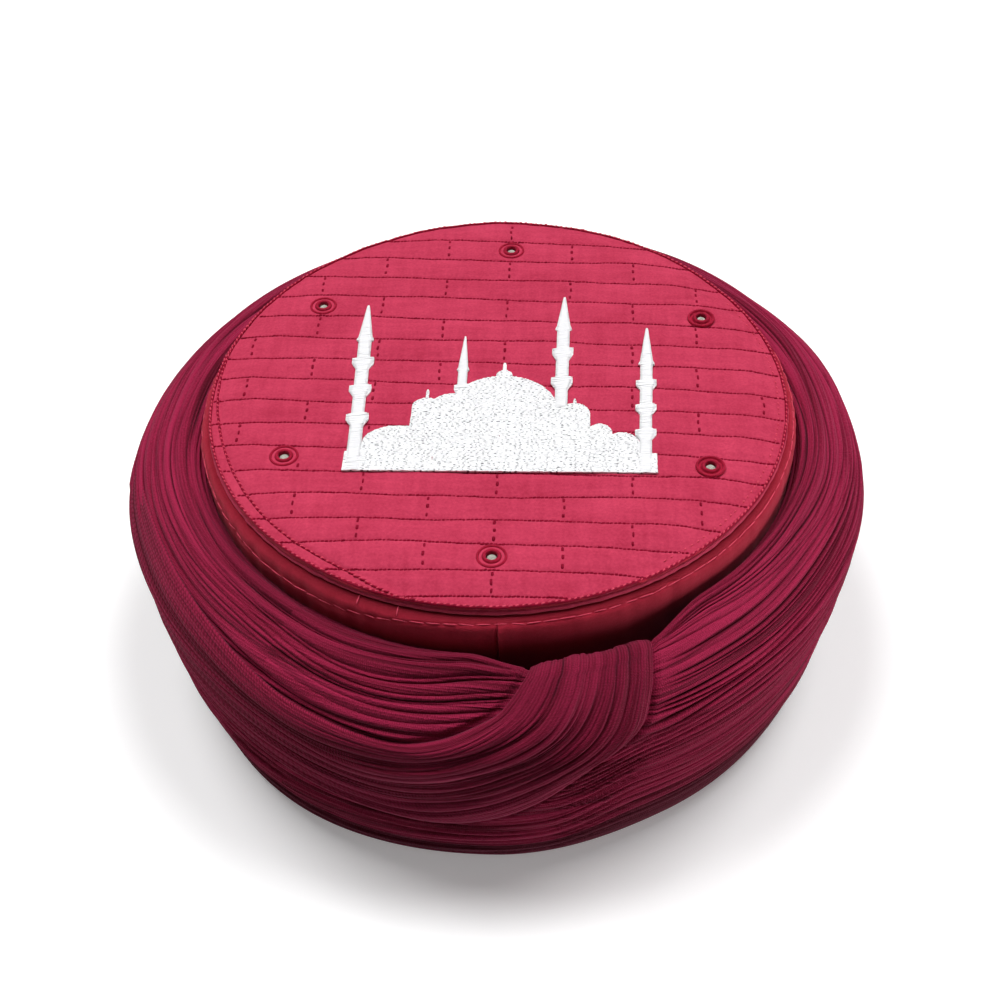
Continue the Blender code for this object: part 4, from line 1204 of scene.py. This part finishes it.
def sewMarks():
    # Short upright rows of stitches between the lines, as bricks are laid
    middle, apart, grow, curve = markStitches["across"]
    stitches, lengths = [], []
    for line in range(lastLine):
        y = np.interp(line + 0.5, range(lastLine + 1), quilt["lines"][:, 0])
        step = apart + grow * y + curve * y * y
        for number in range(-3, 4):
            x = middle + (number + (0.5 if line % 2 else 0.0)) * step
            if math.hypot(x, y) > markStitches["reach"]:
                continue
            upper, lower = lineAt(np.array([float(line), line + 1.0]), np.array([x, x]))
            if line == 0:
                upper = lower + markStitches["firstRow"]
            for down, length in markStitches["parts"]:
                stray = 0.00014 * math.sin(line * 7 + number * 5 + down * 900)
                stitches.append((x + stray, upper - down * (upper - lower) / quilt["pitch"]))
                lengths.append(length)
    spots, lengths = np.array(stitches), np.array(lengths)
    clear = np.hypot(spots[:, 0], spots[:, 1]) < 0.093
    for turn, out in eyeletPlaces:
        away = spots - (out * math.sin(turn), out * math.cos(turn))
        clear &= np.hypot(*away.T) > markStitches["fromEyelet"]
    spots, lengths = spots[clear], lengths[clear]
    height = cap["crownTop"] + quiltHeight(spots[:, 0], spots[:, 1]) + 0.0001
    points = np.column_stack((spots, height))
    along = np.tile((0.0, 1.0, 0.0), (len(spots), 1))
    look = {**markStitches, "length": lengths}
    layStitches("markThread", points, along, look, quiltThread, 41)


def ringOfStitches(angles, radius, height):
    turn = np.radians(angles)
    along = np.stack((np.cos(turn), np.sin(turn), np.zeros(len(turn))), 1)
    return aroundCap(turn, radius, height), along


rimRows = {  # degrees from and to and from stitch to stitch, and length, width, height and slant
    "rim": {
        "from": -180, "to": 180, "pitch": 1.15, "radius": 0.09475, "lift": 0.00024,
        "Glints": (0.00120, 0.00050, 0.00062, 16.0),
    },
    "inner": {
        "from": -114, "to": -12, "pitch": 1.3, "lift": 0.00016,
        "Cord": (0.0024, 0.00074, 0.00058, 5.0), "Glints": (0.00105, 0.00056, 0.00082, 26.0),
    },
    "right": {
        "from": 34, "to": 122, "pitch": 1.6, "radius": 0.0922, "lift": 0.00012,
        "Glints": (0.00110, 0.00046, 0.00050, 14.0),
    },
}
topStitches = {"pitch": 2.9, "length": 0.0046, "width": 0.00030, "height": 0.00032}
looseStitches = {"length": 0.0026, "width": 0.0004, "height": 0.0004, "lean": 0.10}


def sewRim():
    for row, look in rimRows.items():
        places = np.arange(look["from"], look["to"], look["pitch"])
        # The Glints are pale stitches along each cord: painted highlights of its twist
        for part, offset, material in (("Cord", 0.0, quiltThread), ("Glints", 0.5, paleThreadAndGlints)):
            if part not in look:
                continue
            angles = places + offset * look["pitch"]
            radius = quilt["innerSeam"] + 0.0034 * (1 - leftSeamShare(angles))
            radius = look.get("radius", radius) + 0 * angles
            turn, seen = np.radians(angles), np.minimum(radius, quilt["rim"])
            height = quiltHeight(seen * np.sin(turn), -seen * np.cos(turn))
            height = cap["crownTop"] + height + look["lift"]
            points, along = ringOfStitches(angles, radius, height)
            length, width, tall, slant = look[part]
            size = {"length": length, "width": width, "height": tall}
            layStitches(row + part, points, along, size, material, 51, slant)
    angles = np.arange(-180, 180, topStitches["pitch"])
    radius, height = bandFace(angles, topstitchAt(angles))
    points, along = ringOfStitches(angles, radius + 0.00002, height + 0.00014)
    turn = np.radians(angles)
    slope = np.stack((np.sin(turn) * 0.6, -np.cos(turn) * 0.6, np.full(len(turn), 0.8)), 1)
    layStitches("bandThread", points, along, topStitches, paleThreadAndGlints, 53, up=slope)
    angles = np.array(band["stray"])
    upper, lower = bandFace(angles, np.full(2, 0.12)), bandFace(angles, np.full(2, 0.50))
    radius, height = (upper[0] + lower[0]) / 2 + 0.0006, (upper[1] + lower[1]) / 2 + 0.0004
    points, _ = ringOfStitches(angles, radius, height)
    turn = np.radians(angles)
    leaning = turn + looseStitches["lean"]
    rise, reach = upper[1] - lower[1], lower[0] - upper[0]
    along = np.stack((-np.sin(leaning) * reach, np.cos(leaning) * reach, rise), 1)
    outward = np.stack((np.sin(turn) * 0.7, -np.cos(turn) * 0.7, np.full(2, 0.7)), 1)
    layStitches(
        "looseThread", points, along, looseStitches, paleThreadAndGlints, 54, up=outward,
    )


sewQuilting()
sewMarks()
sewRim()
print("stitches laid")


# The embroidered mosque

mosque = {
    "width": 0.0987,
    "height": 0.0525,
    "foot": (0.0021, -0.041),
    "groundTop": 0.10485,
    "threadPitch": 0.00046,
    "threadLength": 0.0026,
    "threadWidth": 0.00052,
    "threadHeight": 0.00034,
    "firstRow": 0.0002,
    "overlap": 0.0001,  # how far the filling stitches pass the outline
    "shortest": 0.0004,
    "satinLift": 0.00018,  # of the minarets' stitches over the filling's
    "blocks": (  # middle, half width, top and how far a rounded top falls away, as shares
        (0.000, 0.500, 0.165, 0.000), (-0.334, 0.114, 0.398, 0.150), (-0.007, 0.293, 0.470, 0.000),
        (-0.252, 0.047, 0.657, 0.075), (-0.252, 0.005, 0.735, 0.030), (-0.165, 0.066, 0.700, 0.085),
        (0.000, 0.180, 0.872, 0.310), (0.000, 0.027, 0.928, 0.045), (0.000, 0.006, 1.000, 0.030),
        (0.235, 0.053, 0.617, 0.100), (0.238, 0.005, 0.655, 0.020), (0.319, 0.040, 0.427, 0.080),
        (0.390, 0.056, 0.350, 0.100),
    ),
    "minaretHeight": 0.0884,
    "minaretWidth": 0.0074,
    "minarets": (  # foot, tip, height, width and upper balcony
        (-0.467, -0.496, 0.942, 1.00, 0.660), (-0.138, -0.142, 0.750, 0.70, 0.623),
        (0.188, 0.199, 1.000, 0.97, 0.685), (0.461, 0.485, 0.805, 0.92, 0.622),
    ),
    "minaretsBehind": (1, 2),  # these start behind the blocks
    "minaretOutline": (  # from the upper balcony or not, up and out
        (0, 0.000, 0.62), (1, -0.410, 0.58), (1, -0.375, 1.00), (1, -0.345, 1.00), (1, -0.340, 0.58),
        (1, -0.240, 0.58), (1, -0.205, 1.00), (1, -0.175, 1.00), (1, -0.170, 0.60), (1, -0.070, 0.60),
        (1, -0.035, 1.00), (1, -0.005, 1.00), (1, 0.000, 0.60), (1, 0.105, 0.60), (1, 0.115, 0.80),
        (1, 0.135, 0.64), (0, 0.985, 0.16), (0, 1.000, 0.10),
    ),
}


def skyline(across):
    height = np.zeros(len(across))
    for middle, half, top, dome in mosque["blocks"]:
        away = np.abs(across - middle) / half
        here = top - dome * (1 - np.sqrt(np.clip(1 - away * away, 0, 1)))
        height = np.maximum(height, np.where(away <= 1, here, 0))
    return height * mosque["height"]


def buildMosque():
    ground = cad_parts["mosque_embroidery"].copy()
    ground.data = ground.data.copy()
    ground.name = ground.data.name = "mosqueGround"
    bpy.context.scene.collection.objects.link(ground)
    points = readPoints(ground)
    low, high = points[:, 2].min(), points[:, 2].max()
    points[:, 2] = low + (points[:, 2] - low) / (high - low) * (mosque["groundTop"] - low)
    movePoints(ground, points)
    sewClosed(ground)
    dress(ground, fillThread, ["mosque_embroidery"], smoothAngle=40)
    random = np.random.default_rng(61)
    across = np.linspace(-0.5, 0.5, 1975)
    tops = skyline(across)
    fill, satin = [], []  # each stitch: place across, place up, length, lean
    for rise in np.arange(mosque["firstRow"], mosque["height"], mosque["threadPitch"]):
        inside = tops >= rise
        edges = np.flatnonzero(np.diff(np.concatenate(([False], inside, [False])).astype(int)))
        for start, stop in zip(edges[::2], edges[1::2]):
            cut = across[start] * mosque["width"] - mosque["overlap"]
            right = across[stop - 1] * mosque["width"] + mosque["overlap"]
            while right - cut > mosque["shortest"]:
                long = min(mosque["threadLength"] * random.uniform(0.55, 1.35), right - cut)
                up, lean = rise + random.normal(0, 0.00003), random.normal(0, 0.05)
                fill.append((cut + long / 2, up, long * 0.97, lean))
                cut += long
    for number, (foot, tip, share, width, balcony) in enumerate(mosque["minarets"]):
        height = mosque["minaretHeight"] * share
        outline = np.array([(up + balcony * above, out) for above, up, out in mosque["minaretOutline"]])
        for rise in np.arange(mosque["firstRow"], height, mosque["threadPitch"]):
            up = rise / height
            middle = foot + (tip - foot) * up
            if number in mosque["minaretsBehind"] and rise < skyline(np.array([middle]))[0]:
                continue
            half = np.interp(up, outline[:, 0], outline[:, 1]) * mosque["minaretWidth"] * width / 2
            satin.append((middle * mosque["width"], rise, 2 * half, 0.16 + random.normal(0, 0.03)))
    layers = (
        ("mosqueFill", fill, 0.0, fillThread),
        ("minarets", satin, mosque["satinLift"], whiteThread),
    )
    for name, laid, lift, material in layers:
        laid = np.array(laid)
        count = len(laid)
        heights = mosque["groundTop"] + lift + random.normal(0, 0.00004, count)
        points = np.column_stack((laid[:, :2] + mosque["foot"], heights)) + capAxis
        along = np.column_stack((np.cos(laid[:, 3]), np.sin(laid[:, 3]), np.zeros(count)))
        thread = np.tile((mosque["threadWidth"], mosque["threadHeight"]), (count, 1))
        turns = frames(along, np.tile((0.0, 0.0, 1.0), (count, 1)))
        piece = layCopies(name, stitch, points, turns, np.column_stack((laid[:, 2], thread)))
        dress(piece, material)


buildMosque()
bpy.data.objects.remove(stitch)
print("mosque embroidered")


# The interlining under the crown, pushed up a little into each eyelet

interlining = {"radius": 0.081, "top": 0.1015, "thickness": 0.001, "rise": 0.0023, "wide": 0.00166}


def buildInterlining():
    bpy.ops.mesh.primitive_cylinder_add(
        vertices=96, radius=interlining["radius"], depth=interlining["thickness"],
        end_fill_type="NGON",
        location=(capAxis[0], capAxis[1], interlining["top"] - interlining["thickness"] / 2),
    )
    piece = bpy.context.object
    piece.name = piece.data.name = "interlining"
    bpy.ops.object.transform_apply(location=True, rotation=True, scale=True)
    mounds = []
    for turn, out in eyeletPlaces:
        place = capAxis + (out * math.sin(turn), out * math.cos(turn), interlining["top"] - 0.0002)
        bpy.ops.mesh.primitive_uv_sphere_add(segments=24, ring_count=12, radius=1, location=place)
        mound = bpy.context.object
        ball = readPoints(mound)
        fromAxis = np.hypot(ball[:, 0], ball[:, 1])[:, None]
        ball[:, :2] /= np.sqrt(np.maximum(fromAxis, 1e-6))
        ball[:, 2] = np.sign(ball[:, 2]) * np.sqrt(np.abs(ball[:, 2]))
        movePoints(mound, ball * (interlining["wide"], interlining["wide"], interlining["rise"]))
        mounds.append(mound)
    pick(*mounds)
    bpy.ops.object.transform_apply(location=True, rotation=True, scale=True)
    pick(*mounds, piece)
    bpy.ops.object.join()
    dress(piece, paleBuckram, ["crown_stiffener"], smoothAngle=40)


buildInterlining()
print("interlining laid")


# Floor, light and camera

studio = {
    "world": 0.045,
    "floor": (0.92, 0.92, 0.925),
    "floorGlow": 0.23,
    "lights": {  # direction towards the light, its spread in degrees, strength
        "leftKey": ((-0.32, 0.19, 1.0), 25, 1.78),
        "rightKey": ((0.34, 0.19, 1.0), 25, 1.80),
        "top": ((0.0, 0.1, 1.0), 90, 0.28),
        "rightBounce": ((0.97, -0.20, -0.24), 40, 2.25),
        "leftBounce": ((-1.0, -0.06, -0.24), 40, 1.10),
        "frontBounce": ((0.25, -0.7, -0.8), 40, 0.22),
    },
    "camera": (0.026371, -0.394425, 0.442222),
    "turn": (45.26284572, 1.4435101, 2.241613),
    "lens": 56.46867,
    "sensor": 36,
}


def buildStudio():
    bpy.ops.mesh.primitive_plane_add(size=30, location=(0, 0, -0.0003))
    floor = bpy.context.object
    floor.name = "floor"
    bpy.ops.object.transform_apply(location=True, rotation=True, scale=True)
    bpy.ops.mesh.primitive_uv_sphere_add(segments=48, ring_count=24, radius=14)
    backdrop = bpy.context.object
    backdrop.name = "backdrop"
    backdrop.visible_diffuse = backdrop.visible_glossy = backdrop.visible_shadow = False
    paper, _, shader = newMaterial("palePaper")
    glow = {"Base Color": (0, 0, 0, 1), "Emission Color": (1, 1, 1, 1), "Emission Strength": 1.0}
    for name, value in glow.items():
        shader.inputs[name].default_value = value
    backdrop.data.materials.append(paper)
    material, start, shader = newMaterial("paleFloor")
    grain = noise(start, places(start), 60, 3)
    tone = blendColours(start, grain, studio["floor"], [c * 0.985 for c in studio["floor"]])
    finishShader(start, shader, tone, 0.9, grain, 0.00002, {
        "Specular IOR Level": 0.1,
        "Emission Color": (1, 1, 1, 1), "Emission Strength": studio["floorGlow"],
    })
    floor.data.materials.append(material)
    # The low bounce lights stand in for what the floor throws back
    floor.visible_diffuse = floor.visible_shadow = False
    world = bpy.data.worlds.new("studioWorld")
    world.use_nodes = True
    background = world.node_tree.nodes["Background"].inputs
    background["Color"].default_value = (1, 1, 1, 1)
    background["Strength"].default_value = studio["world"]
    bpy.context.scene.world = world
    for name, (direction, spread, strength) in studio["lights"].items():
        bpy.ops.object.light_add(type="SUN", location=(0, 0, 1))
        light = bpy.context.object
        light.name = name + "Light"
        light.data.angle, light.data.energy = math.radians(spread), strength
        light.rotation_euler = Vector(direction).to_track_quat("Z", "Y").to_euler()
    turns = [math.radians(turn) for turn in studio["turn"]]
    bpy.ops.object.camera_add(location=studio["camera"], rotation=turns)
    camera = bpy.context.object
    camera.data.lens, camera.data.sensor_width = studio["lens"], studio["sensor"]
    bpy.context.scene.camera = camera
    bpy.context.scene.view_settings.view_transform = "Standard"


buildStudio()
print("studio set")
